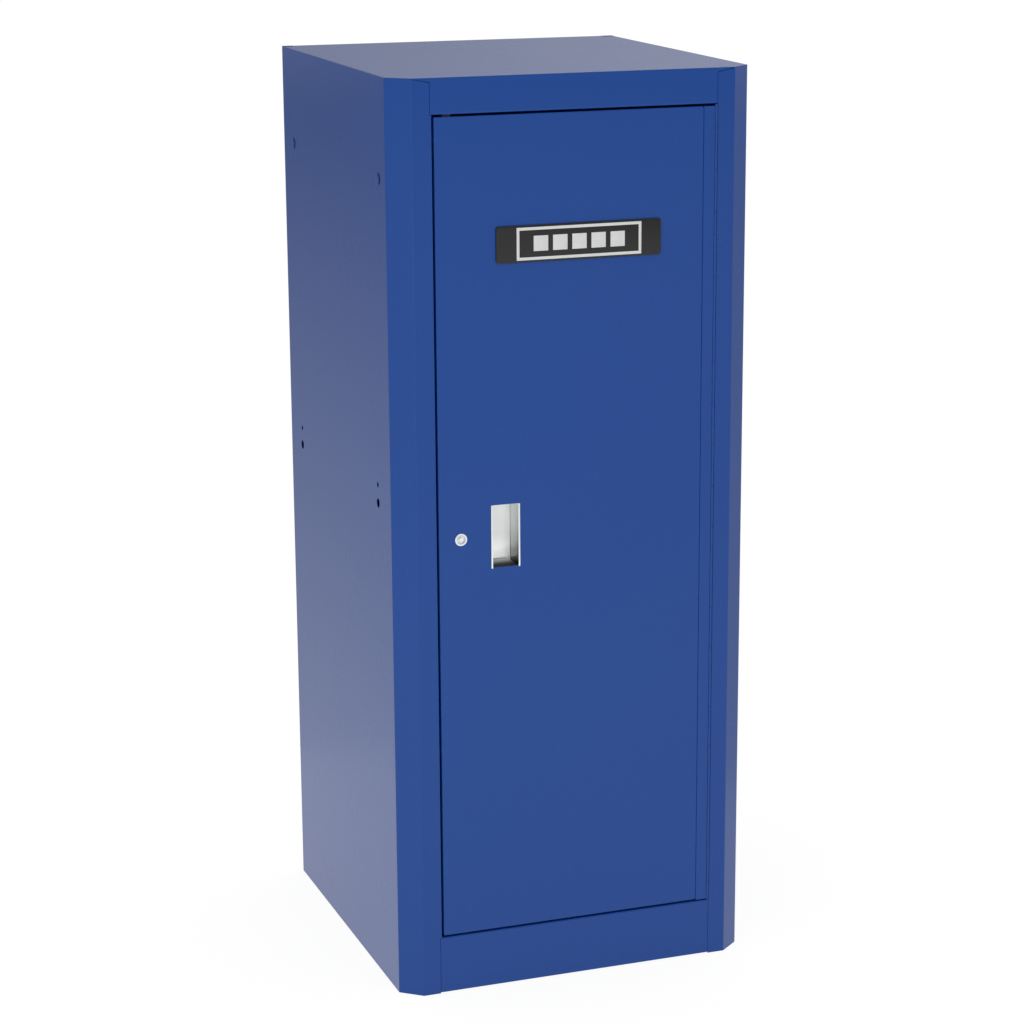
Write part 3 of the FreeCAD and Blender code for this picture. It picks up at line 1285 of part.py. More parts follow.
faults = [thing.Name for thing in doc.Objects
          if "Invalid" in thing.State or "Error" in thing.State]
if faults:
    raise ValueError(f"objects that failed: {faults}")
for label, thing in nodes.items():
    if thing.Shape.isNull() or not thing.Shape.isValid():
        raise ValueError(f"{label} has no valid shape")

os.makedirs("parts", exist_ok=True)
for label, thing in nodes.items():
    thing.Shape.exportStep(f"parts/{label}.step")
    print(f"{label}: {len(thing.Shape.Solids)} solid(s), {thing.Shape.Volume / 1000:.2f} cm3")
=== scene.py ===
"""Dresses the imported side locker: powder coat, plating, turned and pressed details, and stage.

Every piece sits in the frame's own coordinates: metres, +Z up, the door facing -Y, the origin on
the floor under the middle of the cabinet. Run it as a script; it builds the scene once.
"""

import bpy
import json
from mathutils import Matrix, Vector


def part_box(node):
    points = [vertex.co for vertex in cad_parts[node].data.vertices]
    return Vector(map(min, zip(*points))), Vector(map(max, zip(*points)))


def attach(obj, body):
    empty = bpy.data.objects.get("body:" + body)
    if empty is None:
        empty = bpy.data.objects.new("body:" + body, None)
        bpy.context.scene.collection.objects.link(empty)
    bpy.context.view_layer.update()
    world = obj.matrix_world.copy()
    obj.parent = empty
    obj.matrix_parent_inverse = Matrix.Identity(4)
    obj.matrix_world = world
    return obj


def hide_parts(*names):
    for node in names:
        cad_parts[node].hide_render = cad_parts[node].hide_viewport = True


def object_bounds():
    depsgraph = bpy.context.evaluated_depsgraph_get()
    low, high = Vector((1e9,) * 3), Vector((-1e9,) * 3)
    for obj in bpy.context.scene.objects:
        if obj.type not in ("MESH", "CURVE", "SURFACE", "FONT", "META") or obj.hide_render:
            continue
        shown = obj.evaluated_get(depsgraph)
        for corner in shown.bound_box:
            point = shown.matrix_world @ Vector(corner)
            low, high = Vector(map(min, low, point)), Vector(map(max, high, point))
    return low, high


bl_info = {
    "name": "Tool Chest Side Locker",
    "version": (1, 0, 0),
    "blender": (4, 5, 0),
    "location": "3D View > Sidebar > Side Locker",
    "description": "Finishes, small pieces and studio stage for the side locker of a tool chest",
    "category": "Object",
}

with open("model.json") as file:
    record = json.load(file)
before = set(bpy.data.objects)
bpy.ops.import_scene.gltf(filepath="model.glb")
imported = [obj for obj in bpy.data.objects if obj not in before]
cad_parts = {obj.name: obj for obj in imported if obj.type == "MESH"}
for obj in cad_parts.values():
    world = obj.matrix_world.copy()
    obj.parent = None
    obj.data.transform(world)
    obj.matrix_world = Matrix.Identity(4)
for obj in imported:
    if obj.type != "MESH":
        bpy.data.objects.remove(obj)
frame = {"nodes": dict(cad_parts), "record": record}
CAD_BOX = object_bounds()

import json
import math

import bmesh
import bpy
from bpy.props import FloatProperty, FloatVectorProperty, IntProperty, PointerProperty
from mathutils import Matrix, Vector

MM = 0.001
SLOT_OF = {part["node"]: part["material_slot"] for part in frame["record"]["subparts"]}

# Camera: where it stands (m), its heading from +Y toward +X, its tilt, its lens and its shift.
CAMERA_PLACE = (-1.17783, -3.33587, 1.43454)
CAMERA_HEADING = 20.8532
CAMERA_TILT = -14.6526
CAMERA_LENS = 100.356
CAMERA_SENSOR = 36.0
CAMERA_SHIFT = (-0.06655, 0.02264)

# Painted shade rings on the lock's face, over its groove and keyway: share of the head's
# radius, width (m) and tone.
LOCK_PAINTED_SHADE_RINGS = ((0.67, 0.0007, 0.80), (0.36, 0.0009, 0.84))

# Lock head: outer radius of its groove as a share of the head's, then lengths in metres.
LOCK_GROOVE = 0.73
LOCK_GROOVE_DEPTH = 0.0010
LOCK_DISH = 0.0003
LOCK_MOUTH = 0.0007
LOCK_LIP = 0.00004
LOCK_GAP = 0.00006
LOCK_BARREL = 0.0062
LOCK_THREAD_DEPTH = 0.00045
LOCK_THREAD_START = 0.0015
LOCK_THREAD_END = 0.0005
LOCK_END_BEVEL = (0.0004, 0.0006)

# Rivets, plugs and screws (m), steps of their domes, and the limits of meshes (m, degrees).
RIVETS_PER_SIDE = 4
PLUG_BORE = 0.0052
PLUG_ROOF = 0.0002
SCREW_PITCH = 0.0007
CROWN_STEPS = 18
DOME_STEPS = 8
CATCH_SCREW_HEAD = 0.0016
NEAR_AXIS = 1e-6
WELD = 1e-7
CAD_WELD = 1e-6
FLAT_ANGLE = 0.5
SHARP_ANGLE = 30.0

# Reach of the painted shade on a punched hole's wall beyond the hole (m).
HOLE_SHADE_REACH = 0.00006

# Pull cup: its sheet, its lips, its fillet and the ranges of painted shade and dulled gloss in its
# hollow (m).
# Gains of the painted shade and painted light are (at the start, at the end). The lean is the
# painted gain at the right end of the back; the slant is the slope parting the painted dark floor
# from the walls.
CUP_GAUGE = 0.0008
CUP_LIP = 0.0020
CUP_FILLET = 0.003
CUP_CORNER = 0.0004
CUP_MARGIN = CUP_CORNER * 0.8
CUP_SLANT = 0.30
CUP_DULL = 0.30
CUP_FLOOR_FADE = (0.0018, -0.0062)
CUP_DULL_FADE = (0.0045, 0.0005)
CUP_WALL_FADE = (0.0500, 0.0)
CUP_BACK_FADE = (0.0360, 0.0040)
CUP_BACK_GAIN = (0.82, 1.24)
CUP_BACK_LEAN = 0.17
CUP_SIDE_GAIN = (0.68, 0.92)
# Its back: height and slope of the bow at the foot, and the cuts of the mesh, 1 mm apart.
CUP_BOW = 0.0125
CUP_BOW_TILT = 0.27
CUP_LOOPS = 10

# Stage: the floor, and the arcs (degrees from +X), heights and steps of the reflecting cards (m).
FLOOR_REACH = 30.0
FLOOR_BOUNCE = (0.8, 0.8, 0.8, 1.0)
WALL_ARC, WALL_HEIGHT = (-20, 190), 1.6
CARD_ARC, CARD_HEIGHT = (190, 340), 3.0
ARC_STEPS = 48
LAMP_PLACE, LAMP_SIZE = (-1.7, -3.0, 1.3), 2.4

# Where the cards change brightness: shares of the locker's height, and X of the wall's sides (m).
WALL_DIM_SHARE = 0.85
WALL_ABOVE_SHARE = 0.89
WALL_SIDES = (-0.25, 0.5)
CARD_BAND = (0.76, 0.9)


def colour(label, note, value):
    """A colour property, linear red, green, blue."""
    return FloatVectorProperty(name=label, description=note, default=value, subtype="COLOR",
                               size=3, min=0.0, max=1.0)


def length(label, note, value):
    """A length property in metres."""
    return FloatProperty(name=label, description=note, default=value, unit="LENGTH", min=0.0,
                         precision=5)


def share(label, note, value, most=1.0):
    """A plain number from nothing to most."""
    return FloatProperty(name=label, description=note, default=value, min=0.0, max=most)


class LockerFinishes(bpy.types.PropertyGroup):
    """Colours and surface values of the locker's finishes."""

    paint: colour("Powder coat", "Colour of the painted sheet", (0.0030, 0.0540, 0.2760))
    paint_rough: share("Coat roughness", "Roughness of the powder coat", 0.27)
    paint_ior: share("Coat index", "Refractive index of the powder coat", 1.42, 2.0)
    peel: length("Orange peel", "Size of the coat's orange peel", 0.0016)
    peel_height: length("Peel height", "Depth of the orange peel", 0.0000025)
    # Painted shade on the walls of the punched holes.
    hole_wall_painted_shade: share("Cut edge", "Tone of the thin coat on the edges of punched holes", 0.42)
    zinc: colour("Zinc plating", "Colour of plated fittings", (0.60, 0.61, 0.62))
    bright: colour("Bright steel", "Colour of the pull cup", (0.80, 0.82, 0.815))
    # Painted shade of the cup's floor and of the foot of its side walls.
    cup_floor_painted_shade: share("Cup floor", "Part of the light that the cup's floor loses", 0.86)
    cup_wall_painted_shade: share("Cup wall", "Part of the light that the foot of the cup's side loses", 0.70)
    # Painted highlight on the cup's lips.
    cup_lip_painted_highlight: share("Cup lip", "Gain of the cup's lips over its hollow", 1.20, 2.0)
    chrome: colour("Polished plate", "Colour of the lock's face", (0.88, 0.91, 0.97))
    brass: colour("Brass", "Colour of the key pins", (0.62, 0.54, 0.38))
    plate: colour("Plate", "Colour of the name plate", (0.014, 0.014, 0.014))
    trim: colour("Plate trim", "Colour of the plate's border and bars", (0.66, 0.67, 0.66))
    dark_plastic: colour("Catch plastic", "Colour of the catch case", (0.02, 0.02, 0.022))
    rubber: colour("Rubber", "Colour of the door bumpers", (0.022, 0.022, 0.022))
    ferrite: colour("Magnet", "Colour of the catch magnet", (0.06, 0.058, 0.056))


class LockerDetails(bpy.types.PropertyGroup):
    """Sizes of the small turned and pressed details."""

    plug_dome: length("Plug dome", "Rise of a hole plug's dome above its rim", 0.00025)
    plug_snap: length("Plug snap", "Depth of a plug's snap ring behind the sheet", 0.0042)
    rim_round: length("Rim round", "Edge radius of the lock's head", 0.0005)
    groove: length("Lock groove", "Width of the turned groove on the lock's head", 0.0011)
    thread_pitch: length("Thread pitch", "Pitch of the lock barrel's thread", 0.0010)
    cup_edge: length("Cup edge", "Edge radius of the pull cup", 0.00035)
    plate_edge: length("Plate edge", "Edge radius of the name plate", 0.0007)
    trim_edge: length("Trim edge", "Edge radius of the plate's trim", 0.00012)
    nut_edge: length("Nut edge", "Edge radius of the lock nut", 0.0004)
    rivet_shank: length("Rivet shank", "Radius of a back rivet's shank", 0.0016)
    cam_shank: length("Cam screw shank", "Radius of the cam screw's shank", 0.0015)
    turned_steps: IntProperty(name="Turned steps", description="Segments round a turned piece",
                              default=96, min=24, max=256)


class LockerStage(bpy.types.PropertyGroup):
    """Values of the floor, the reflecting cards, the lamps and the world."""

    ambient: share("Ambient", "Strength of the plain light from all sides", 0.80, 3.0)
    lamp: share("Front lamp", "Power of the soft lamp in front", 28.0, 500.0)
    floor_glow: share("Floor white", "Own white of the floor toward the camera", 0.90)
    floor_pale: share("Floor shade", "Part of the floor's white that takes shadows", 0.14)
    wall_radius: length("Wall distance", "Distance of the curved wall from the middle", 0.80)
    wall_foot: share("Wall foot", "Brightness of the wall's left part at the floor", 0.88)
    wall_dim: share("Wall shade", "Brightness of the wall's left part near its middle", 0.25)
    wall_foot_right: share("Right foot", "Brightness of the wall's right part at the floor", 0.73)
    wall_dim_right: share("Right shade", "Brightness of the wall's right part higher up", 0.49)
    wall_above: share("Wall above", "Brightness of the wall above the locker", 0.50)
    wall_lean: share("Wall lean", "Gain of that brightness per metre to the right", 0.30)
    card_radius: length("Card distance", "Distance of the front card from the middle", 2.40)
    card_low: share("Card foot", "Brightness of the front card's lower part", 0.80)
    card_dark: share("Card top", "Brightness of the front card's upper part", 0.06)


def finishes():
    return bpy.context.scene.locker_finishes


def details():
    return bpy.context.scene.locker_details


def stage_values():
    return bpy.context.scene.locker_stage


# Nodes of materials ---------------------------------------------------------------------------


class Wiring:
    """Places and links the nodes of one shader tree, left to right."""

    def __init__(self, tree):
        self.tree = tree
        self.column = 0

    def add(self, kind, inputs=None, **settings):
        node = self.tree.nodes.new(kind)
        self.column += 1
        node.location = (180 * self.column, -40 * (self.column % 5))
        for key, value in settings.items():
            setattr(node, key, value)
        for key, value in (inputs or {}).items():
            self.put(value, node.inputs[key])
        return node

    def put(self, value, socket):
        if isinstance(value, bpy.types.NodeSocket):
            self.tree.links.new(value, socket)
        else:
            socket.default_value = value

    def place(self):
        """X, Y and Z of the object's own coordinates."""
        spot = self.add("ShaderNodeTexCoord").outputs["Object"]
        return self.add("ShaderNodeSeparateXYZ", {0: spot}).outputs

    def noise(self, place, scale, detail=2.0, roughness=0.5):
        node = self.add("ShaderNodeTexNoise", {
            "Vector": place, "Scale": scale, "Detail": detail, "Roughness": roughness})
        return node.outputs["Fac"]

    def maths(self, operation, first, second=0.0, third=0.0):
        node = self.add("ShaderNodeMath", {0: first, 1: second, 2: third}, operation=operation)
        return node.outputs[0]

    def squares(self, first, second):
        """The sum of two numbers' squares."""
        return self.maths("MULTIPLY_ADD", first, first, self.maths("MULTIPLY", second, second))

    def spread(self, value, low, high, to_low, to_high):
        """The value moved from one range to another."""
        node = self.add("ShaderNodeMapRange", {
            "Value": value, "From Min": low, "From Max": high, "To Min": to_low,
            "To Max": to_high})
        return node.outputs["Result"]

    def fade(self, value, start, end):
        """Nought at the start, one at the end, eased at both."""
        node = self.add("ShaderNodeMapRange", {
            "Value": value, "From Min": start, "From Max": end, "To Min": 0.0, "To Max": 1.0},
            interpolation_type="SMOOTHSTEP")
        return node.outputs["Result"]

    def between(self, factor, first, second):
        """The first value at factor nought, the second at factor one."""
        return self.maths("MULTIPLY_ADD", factor, self.maths("SUBTRACT", second, first), first)

    def shade(self, colour_socket, factor):
        """A colour multiplied by a number."""
        node = self.add("ShaderNodeVectorMath", {0: colour_socket}, operation="SCALE")
        self.put(factor, node.inputs["Scale"])
        return node.outputs["Vector"]


def emptied(owner):
    """Wiring for the cleared node tree of a material or a world."""
    owner.use_nodes = True
    owner.node_tree.nodes.clear()
    return Wiring(owner.node_tree)


def principled(material):
    """The Principled shader of a material."""
    return next(node for node in material.node_tree.nodes
                if node.bl_idname == "ShaderNodeBsdfPrincipled")


def effect(name, inputs, outputs, build):
    """A shader node group, built once: inputs and outputs are (name, kind, default)."""
    made = bpy.data.node_groups.get(name)
    if made:
        return made
    tree = bpy.data.node_groups.new(name, "ShaderNodeTree")
    for label, kind, default in inputs:
        socket = tree.interface.new_socket(label, in_out="INPUT", socket_type=kind)
        socket.default_value = default
    for label, kind in outputs:
        tree.interface.new_socket(label, in_out="OUTPUT", socket_type=kind)
    wiring = Wiring(tree)
    start = wiring.add("NodeGroupInput")
    results = build(wiring, start.outputs)
    end = wiring.add("NodeGroupOutput")
    for label, socket in results.items():
        tree.links.new(socket, end.inputs[label])
    return tree


FLOAT = "NodeSocketFloat"
COLOUR = "NodeSocketColor"
WHITE = (1.0, 1.0, 1.0, 1.0)


def coat_effect():
    """Orange peel with a slow drift of tone and gloss, as a sprayed or powdered coat has."""

    def build(wiring, given):
        place = wiring.add("ShaderNodeTexCoord").outputs["Object"]
        waves = wiring.maths("DIVIDE", 1.0, given["Peel Size"])
        peel = wiring.noise(place, waves, 1.0, 0.4)
        fine = wiring.noise(place, wiring.maths("MULTIPLY", waves, 3.2), 1.0, 0.5)
        height = wiring.maths("MULTIPLY_ADD", fine, 0.18, peel)
        drift = wiring.noise(place, 3.1, 2.0, 0.55)
        tone = wiring.spread(drift, 0.3, 0.7, wiring.maths("SUBTRACT", 1.0, given["Drift"]),
                             wiring.maths("ADD", 1.0, given["Drift"]))
        cloud = wiring.noise(place, 14.0, 3.0, 0.6)
        speck = wiring.noise(place, wiring.maths("MULTIPLY", waves, 1.9), 2.0, 0.6)
        mixed = wiring.maths("MULTIPLY_ADD", speck, 0.45, cloud)
        rough = wiring.spread(mixed, 0.45, 1.0,
                              wiring.maths("SUBTRACT", given["Roughness"], given["Gloss Drift"]),
                              wiring.maths("ADD", given["Roughness"], given["Gloss Drift"]))
        return {"Color": wiring.shade(given["Color"], tone), "Roughness": rough,
                "Height": height}

    return effect("sprayed_coat", [
        ("Color", COLOUR, WHITE), ("Roughness", FLOAT, 0.3), ("Gloss Drift", FLOAT, 0.02),
        ("Drift", FLOAT, 0.02), ("Peel Size", FLOAT, 0.0016)],
        [("Color", COLOUR), ("Roughness", FLOAT), ("Height", FLOAT)], build)


def metal_effect():
    """Drawn or plated metal: fine streaks along one axis, and faint clouds of tone."""

    def build(wiring, given):
        place = wiring.add("ShaderNodeTexCoord").outputs["Object"]
        along = wiring.add("ShaderNodeVectorMath", {0: place, 1: given["Streak Scale"]},
                           operation="MULTIPLY").outputs["Vector"]
        streaks = wiring.noise(along, 1.0, 3.0, 0.6)
        clouds = wiring.noise(place, given["Cloud Scale"], 3.0, 0.6)
        mottle = wiring.maths("MULTIPLY_ADD", streaks, given["Streaks"],
                              wiring.maths("MULTIPLY", clouds, given["Clouds"]))
        tone = wiring.maths("SUBTRACT", wiring.maths("ADD", 1.0, mottle), given["Even"])
        rough = wiring.maths("MULTIPLY_ADD", streaks, given["Rough Spread"],
                             given["Roughness"])
        return {"Color": wiring.shade(given["Color"], tone), "Roughness": rough,
                "Height": streaks}

    return effect("drawn_metal", [
        ("Color", COLOUR, WHITE), ("Roughness", FLOAT, 0.3), ("Rough Spread", FLOAT, 0.1),
        ("Streak Scale", "NodeSocketVector", (900.0, 900.0, 30.0)), ("Streaks", FLOAT, 0.1),
        ("Clouds", FLOAT, 0.1), ("Cloud Scale", FLOAT, 60.0), ("Even", FLOAT, 0.1)],
        [("Color", COLOUR), ("Roughness", FLOAT), ("Height", FLOAT)], build)


def grain_effect():
    """Moulded plastic or rubber: a fine pebble grain with a little tone in it."""

    def build(wiring, given):
        place = wiring.add("ShaderNodeTexCoord").outputs["Object"]
        waves = wiring.maths("DIVIDE", 1.0, given["Grain Size"])
        pebble = wiring.add("ShaderNodeTexVoronoi", {"Vector": place, "Scale": waves},
                            feature="SMOOTH_F1").outputs["Distance"]
        cloud = wiring.noise(place, 90.0, 3.0, 0.6)
        tone = wiring.spread(cloud, 0.3, 0.7, wiring.maths("SUBTRACT", 1.0, given["Tone"]),
                             wiring.maths("ADD", 1.0, given["Tone"]))
        rough = wiring.maths("MULTIPLY_ADD", wiring.maths("SUBTRACT", cloud, 0.5), 0.16,
                             given["Roughness"])
        return {"Color": wiring.shade(given["Color"], tone), "Roughness": rough,
                "Height": pebble}

    return effect("moulded_grain", [
        ("Color", COLOUR, WHITE), ("Roughness", FLOAT, 0.5), ("Grain Size", FLOAT, 0.0006),
        ("Tone", FLOAT, 0.06)],
        [("Color", COLOUR), ("Roughness", FLOAT), ("Height", FLOAT)], build)


def finish(name, group, values, bump, bump_height, **shader_values):
    """A material: one effect group feeding a Principled shader and its bump."""
    made = bpy.data.materials.get(name)
    if made:
        return made
    material = bpy.data.materials.new(name)
    wiring = emptied(material)
    source = wiring.add("ShaderNodeGroup", node_tree=group)
    for key, value in values.items():
        source.inputs[key].default_value = value
    relief = wiring.add("ShaderNodeBump", {
        "Strength": bump, "Distance": bump_height, "Height": source.outputs["Height"]})
    shader = wiring.add("ShaderNodeBsdfPrincipled", {
        "Base Color": source.outputs["Color"], "Roughness": source.outputs["Roughness"],
        "Normal": relief.outputs["Normal"]})
    for key, value in shader_values.items():
        shader.inputs[key.replace("_", " ")].default_value = value
    out = wiring.add("ShaderNodeOutputMaterial", {"Surface": shader.outputs["BSDF"]})
    material.node_tree.nodes.active = out
    material.diffuse_color = (*values["Color"][:3], 1.0)
    return material


def painted_sheet():
    chosen = finishes()
    return finish("blue_powder_coat", coat_effect(), {
        "Color": (*chosen.paint, 1.0), "Roughness": chosen.paint_rough, "Gloss Drift": 0.007,
        "Drift": 0.008, "Peel Size": chosen.peel}, 0.35, chosen.peel_height,
        IOR=chosen.paint_ior)


def punched_sheet():
    """The powder coat with painted shade on the walls of the punched holes."""
    made = bpy.data.materials.get("blue_punched_sheet")
    if made:
        return made
    material = painted_sheet().copy()
    material.name = "blue_punched_sheet"
    wiring = Wiring(material.node_tree)
    colour_socket = principled(material).inputs["Base Color"]
    source = colour_socket.links[0].from_socket
    place = wiring.place()
    edge = 0.0
    for mount in frame["record"]["mounts"]:
        if mount["kind"] != "bolt_pattern" or mount["pos_m"][0] > 0:
            continue
        apart, hole = mount["dims"]["spacing_x_mm"] * MM / 2, mount["dims"]["hole_r_mm"] * MM
        across = wiring.maths("ABSOLUTE", wiring.maths("SUBTRACT", place["Y"],
                                                       mount["pos_m"][1]))
        across = wiring.maths("SUBTRACT", across, apart)
        rise = wiring.maths("SUBTRACT", place["Z"], mount["pos_m"][2])
        spot = wiring.maths("LESS_THAN", wiring.squares(across, rise), (hole + HOLE_SHADE_REACH) ** 2)
        edge = wiring.maths("MAXIMUM", spot, edge)
    # Painted shade: the walls of the punched holes are darkened.
    wiring.put(wiring.shade(source, wiring.between(edge, 1.0, finishes().hole_wall_painted_shade)),
               colour_socket)
    return material


def zinc_plate():
    return finish("zinc_plating", metal_effect(), {
        "Color": (*finishes().zinc, 1.0), "Roughness": 0.24, "Rough Spread": 0.16,
        "Streak Scale": (700.0, 700.0, 160.0), "Streaks": 0.10, "Clouds": 0.22,
        "Cloud Scale": 55.0, "Even": 0.15}, 0.25, 0.00002, Metallic=1.0)


def bright_steel():
    return finish("bright_pressed_steel", metal_effect(), {
        "Color": (*finishes().bright, 1.0), "Roughness": 0.21, "Rough Spread": 0.05,
        "Streak Scale": (2400.0, 2400.0, 40.0), "Streaks": 0.08, "Clouds": 0.05,
        "Cloud Scale": 40.0, "Even": 0.06}, 0.2, 0.00001, Metallic=1.0)


def cup_painted_shade(wiring, hollow, colour_socket, rough_socket):
    """Paints shade on the floor and the lower side walls of the cup's hollow, and a highlight on
    its lips.
    """
    low, high = hollow
    place = wiring.place()
    height = wiring.maths("SUBTRACT", place["Z"], low.z)
    ahead = wiring.maths("SUBTRACT", high.y, place["Y"])
    slant = wiring.maths("MULTIPLY_ADD", ahead, -CUP_SLANT, height)
    floor = wiring.fade(slant, *CUP_FLOOR_FADE)
    wall = wiring.fade(height, *CUP_WALL_FADE)
    inside = wiring.maths("COMPARE", place["X"], (low.x + high.x) / 2,
                          (high.x - low.x) / 2 - CUP_CORNER)
    wall = wiring.maths("MULTIPLY", wall, wiring.maths("SUBTRACT", 1.0, inside))
    # Only the hollow's own faces take the painted shade, not the cup's back as seen with the door
    # open.
    within = wiring.maths("COMPARE", place["X"], (low.x + high.x) / 2,
                          (high.x - low.x) / 2 + CUP_MARGIN)
    for test, across, limit in (("GREATER_THAN", "Z", low.z - CUP_MARGIN),
                                ("LESS_THAN", "Y", high.y + CUP_MARGIN)):
        within = wiring.maths("MULTIPLY", within, wiring.maths(test, place[across], limit))
    floor = wiring.maths("MULTIPLY", floor, within)
    wall = wiring.maths("MULTIPLY", wall, within)
    # Painted shade: the floor and the foot of the side walls are darkened.
    painted_dark = wiring.maths("MULTIPLY",
                        wiring.maths("MULTIPLY_ADD", floor, -finishes().cup_floor_painted_shade, 1.0),
                        wiring.maths("MULTIPLY_ADD", wall, -finishes().cup_wall_painted_shade, 1.0))
    # Painted light: the back is paler toward its foot and its right, to make up for the light
    # it loses there.
    back = wiring.between(wiring.fade(height, *CUP_BACK_FADE), *CUP_BACK_GAIN)
    lean = wiring.spread(place["X"], low.x, high.x, 0.0, CUP_BACK_LEAN)
    back = wiring.maths("MINIMUM", wiring.maths("ADD", back, lean), CUP_BACK_GAIN[1])
    # Painted shade: the side walls darken toward the back.
    side = wiring.spread(ahead, 0.0, high.y - low.y, *CUP_SIDE_GAIN)
    back = wiring.between(inside, side, back)
    painted_dark = wiring.maths("MULTIPLY", painted_dark, wiring.between(within, 1.0, back))
    # Painted highlight: the lips are made paler than the hollow.
    lip = wiring.maths("LESS_THAN", place["Y"], low.y)
    tone = wiring.between(lip, painted_dark, finishes().cup_lip_painted_highlight)
    dulled = wiring.maths("MULTIPLY", wiring.fade(slant, *CUP_DULL_FADE), within)
    rough = wiring.maths("MULTIPLY_ADD", dulled, CUP_DULL, rough_socket)
    return wiring.shade(colour_socket, tone), rough


def pressed_cup():
    """The bright steel with the painted shade and painted highlight of the cup's hollow in it."""
    material = bright_steel().copy()
    material.name = "cup_steel_painted_shade"
    wiring = Wiring(material.node_tree)
    sockets = [principled(material).inputs[name] for name in ("Base Color", "Roughness")]
    sources = [socket.links[0].from_socket for socket in sockets]
    for socket, result in zip(sockets, cup_painted_shade(wiring, cup_hollow(), *sources)):
        wiring.put(result, socket)
    return material


def cup_hollow():
    """Lowest and highest corners of the cup's hollow; its front is the lips' back."""
    low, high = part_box("pull_cup")
    lip = Vector((CUP_LIP, 0.0, CUP_GAUGE))
    sheet = Vector((0.0, CUP_GAUGE, 0.0))
    return low + lip + sheet * 0.5, high - lip - sheet


def bowed_back(spot):
    """The cup's back bows out toward its foot, as pressed sheet does beside a tight bend."""
    low, high = cup_hollow()
    height = spot.z - low.z
    behind = high.y - CUP_FILLET - CUP_CORNER / 2 < spot.y < high.y + CUP_CORNER
    across = low.x - CUP_CORNER < spot.x < high.x + CUP_CORNER
    if not (behind and across and -CUP_CORNER < height < CUP_BOW):
        return spot
    bow = CUP_BOW_TILT / CUP_BOW * (CUP_BOW - height) ** 2 / 2
    return spot - Vector((0.0, bow, 0.0))


def lock_chrome():
    made = bpy.data.materials.get("polished_lock_plating")
    if made:
        return made
    material = finish("polished_lock_plating", metal_effect(), {
        "Color": (*finishes().chrome, 1.0), "Roughness": 0.16, "Rough Spread": 0.10,
        "Streak Scale": (1500.0, 1500.0, 1500.0), "Streaks": 0.06, "Clouds": 0.06,
        "Cloud Scale": 240.0, "Even": 0.06}, 0.15, 0.000006, Metallic=1.0)
    wiring = Wiring(material.node_tree)
    colour_socket = principled(material).inputs["Base Color"]
    tone = colour_socket.links[0].from_socket
    low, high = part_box("lock_housing")
    head = (high.x - low.x) / 2
    place = wiring.place()
    across = wiring.maths("SUBTRACT", place["X"], (low.x + high.x) / 2)
    rise = wiring.maths("SUBTRACT", place["Z"], (low.z + high.z) / 2)
    radius = wiring.maths("SQRT", wiring.squares(across, rise))
    # Painted shade: rings over the groove and the keyway darken the plating.
    for ring, width, painted_keep in LOCK_PAINTED_SHADE_RINGS:
        spot = wiring.maths("COMPARE", radius, head * ring, width / 2)
        tone = wiring.shade(tone, wiring.between(spot, 1.0, painted_keep))
    wiring.put(tone, colour_socket)
    return material


def key_brass():
    return finish("key_pin_brass", metal_effect(), {
        "Color": (*finishes().brass, 1.0), "Roughness": 0.2, "Rough Spread": 0.12,
        "Streak Scale": (1800.0, 1800.0, 1800.0), "Streaks": 0.1, "Clouds": 0.1,
        "Cloud Scale": 300.0, "Even": 0.1}, 0.2, 0.000008, Metallic=1.0)


def plate_black():
    return finish("satin_black_plate", grain_effect(), {
        "Color": (*finishes().plate, 1.0), "Roughness": 0.42, "Grain Size": 0.0005,
        "Tone": 0.05}, 0.12, 0.00002, IOR=1.45)


def plate_white():
    return finish("pale_plate_trim", grain_effect(), {
        "Color": (*finishes().trim, 1.0), "Roughness": 0.4, "Grain Size": 0.0004,
        "Tone": 0.03}, 0.1, 0.00002, IOR=1.45)


def catch_plastic():
    return finish("catch_case_plastic", grain_effect(), {
        "Color": (*finishes().dark_plastic, 1.0), "Roughness": 0.5, "Grain Size": 0.0006,
        "Tone": 0.08}, 0.25, 0.00004, IOR=1.5)


def bumper_rubber():
    return finish("bumper_rubber", grain_effect(), {
        "Color": (*finishes().rubber, 1.0), "Roughness": 0.72, "Grain Size": 0.0004,
        "Tone": 0.10}, 0.35, 0.00005, IOR=1.48)


def magnet_ferrite():
    return finish("magnet_ferrite", grain_effect(), {
        "Color": (*finishes().ferrite, 1.0), "Roughness": 0.6, "Grain Size": 0.0003,
        "Tone": 0.12}, 0.3, 0.00003, IOR=1.6)


FINISH_OF_SLOT = {
    "blue_paint": painted_sheet,
    "zinc_steel": zinc_plate,
    "bright_steel": bright_steel,
    "lock_chrome": lock_chrome,
    "key_pin_brass": key_brass,
    "plate_black": plate_black,
    "plate_white": plate_white,
    "plug_plastic": catch_plastic,
    "bumper_rubber": bumper_rubber,
    "magnet_dark": magnet_ferrite,
}


def wear(piece, material):
    """Gives a piece one material all over."""
    piece.data.materials.clear()
    piece.data.materials.append(material)


# Pieces -----------------------------------------------------------------------------------------


def body_of(node):
    """The body that a CAD node rides on."""
    for body, members in frame["record"]["behaviour"]["bodies"].items():
        if node in members:
            return body
    raise ValueError(f"{node} is on no body")


def add_piece(name, mesh_source, node, material, smooth_angle=35.0):
    """A new piece from bmesh data that stands for one CAD node."""
    mesh = bpy.data.meshes.new(name)
    mesh_source.to_mesh(mesh)
    mesh_source.free()
    piece = bpy.data.objects.new(name, mesh)
    bpy.context.scene.collection.objects.link(piece)
    for face in mesh.polygons:
        face.use_smooth = True
    mesh.set_sharp_from_angle(angle=math.radians(smooth_angle))
    wear(piece, material)
    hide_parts(node)
    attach(piece, body_of(node))
    return piece


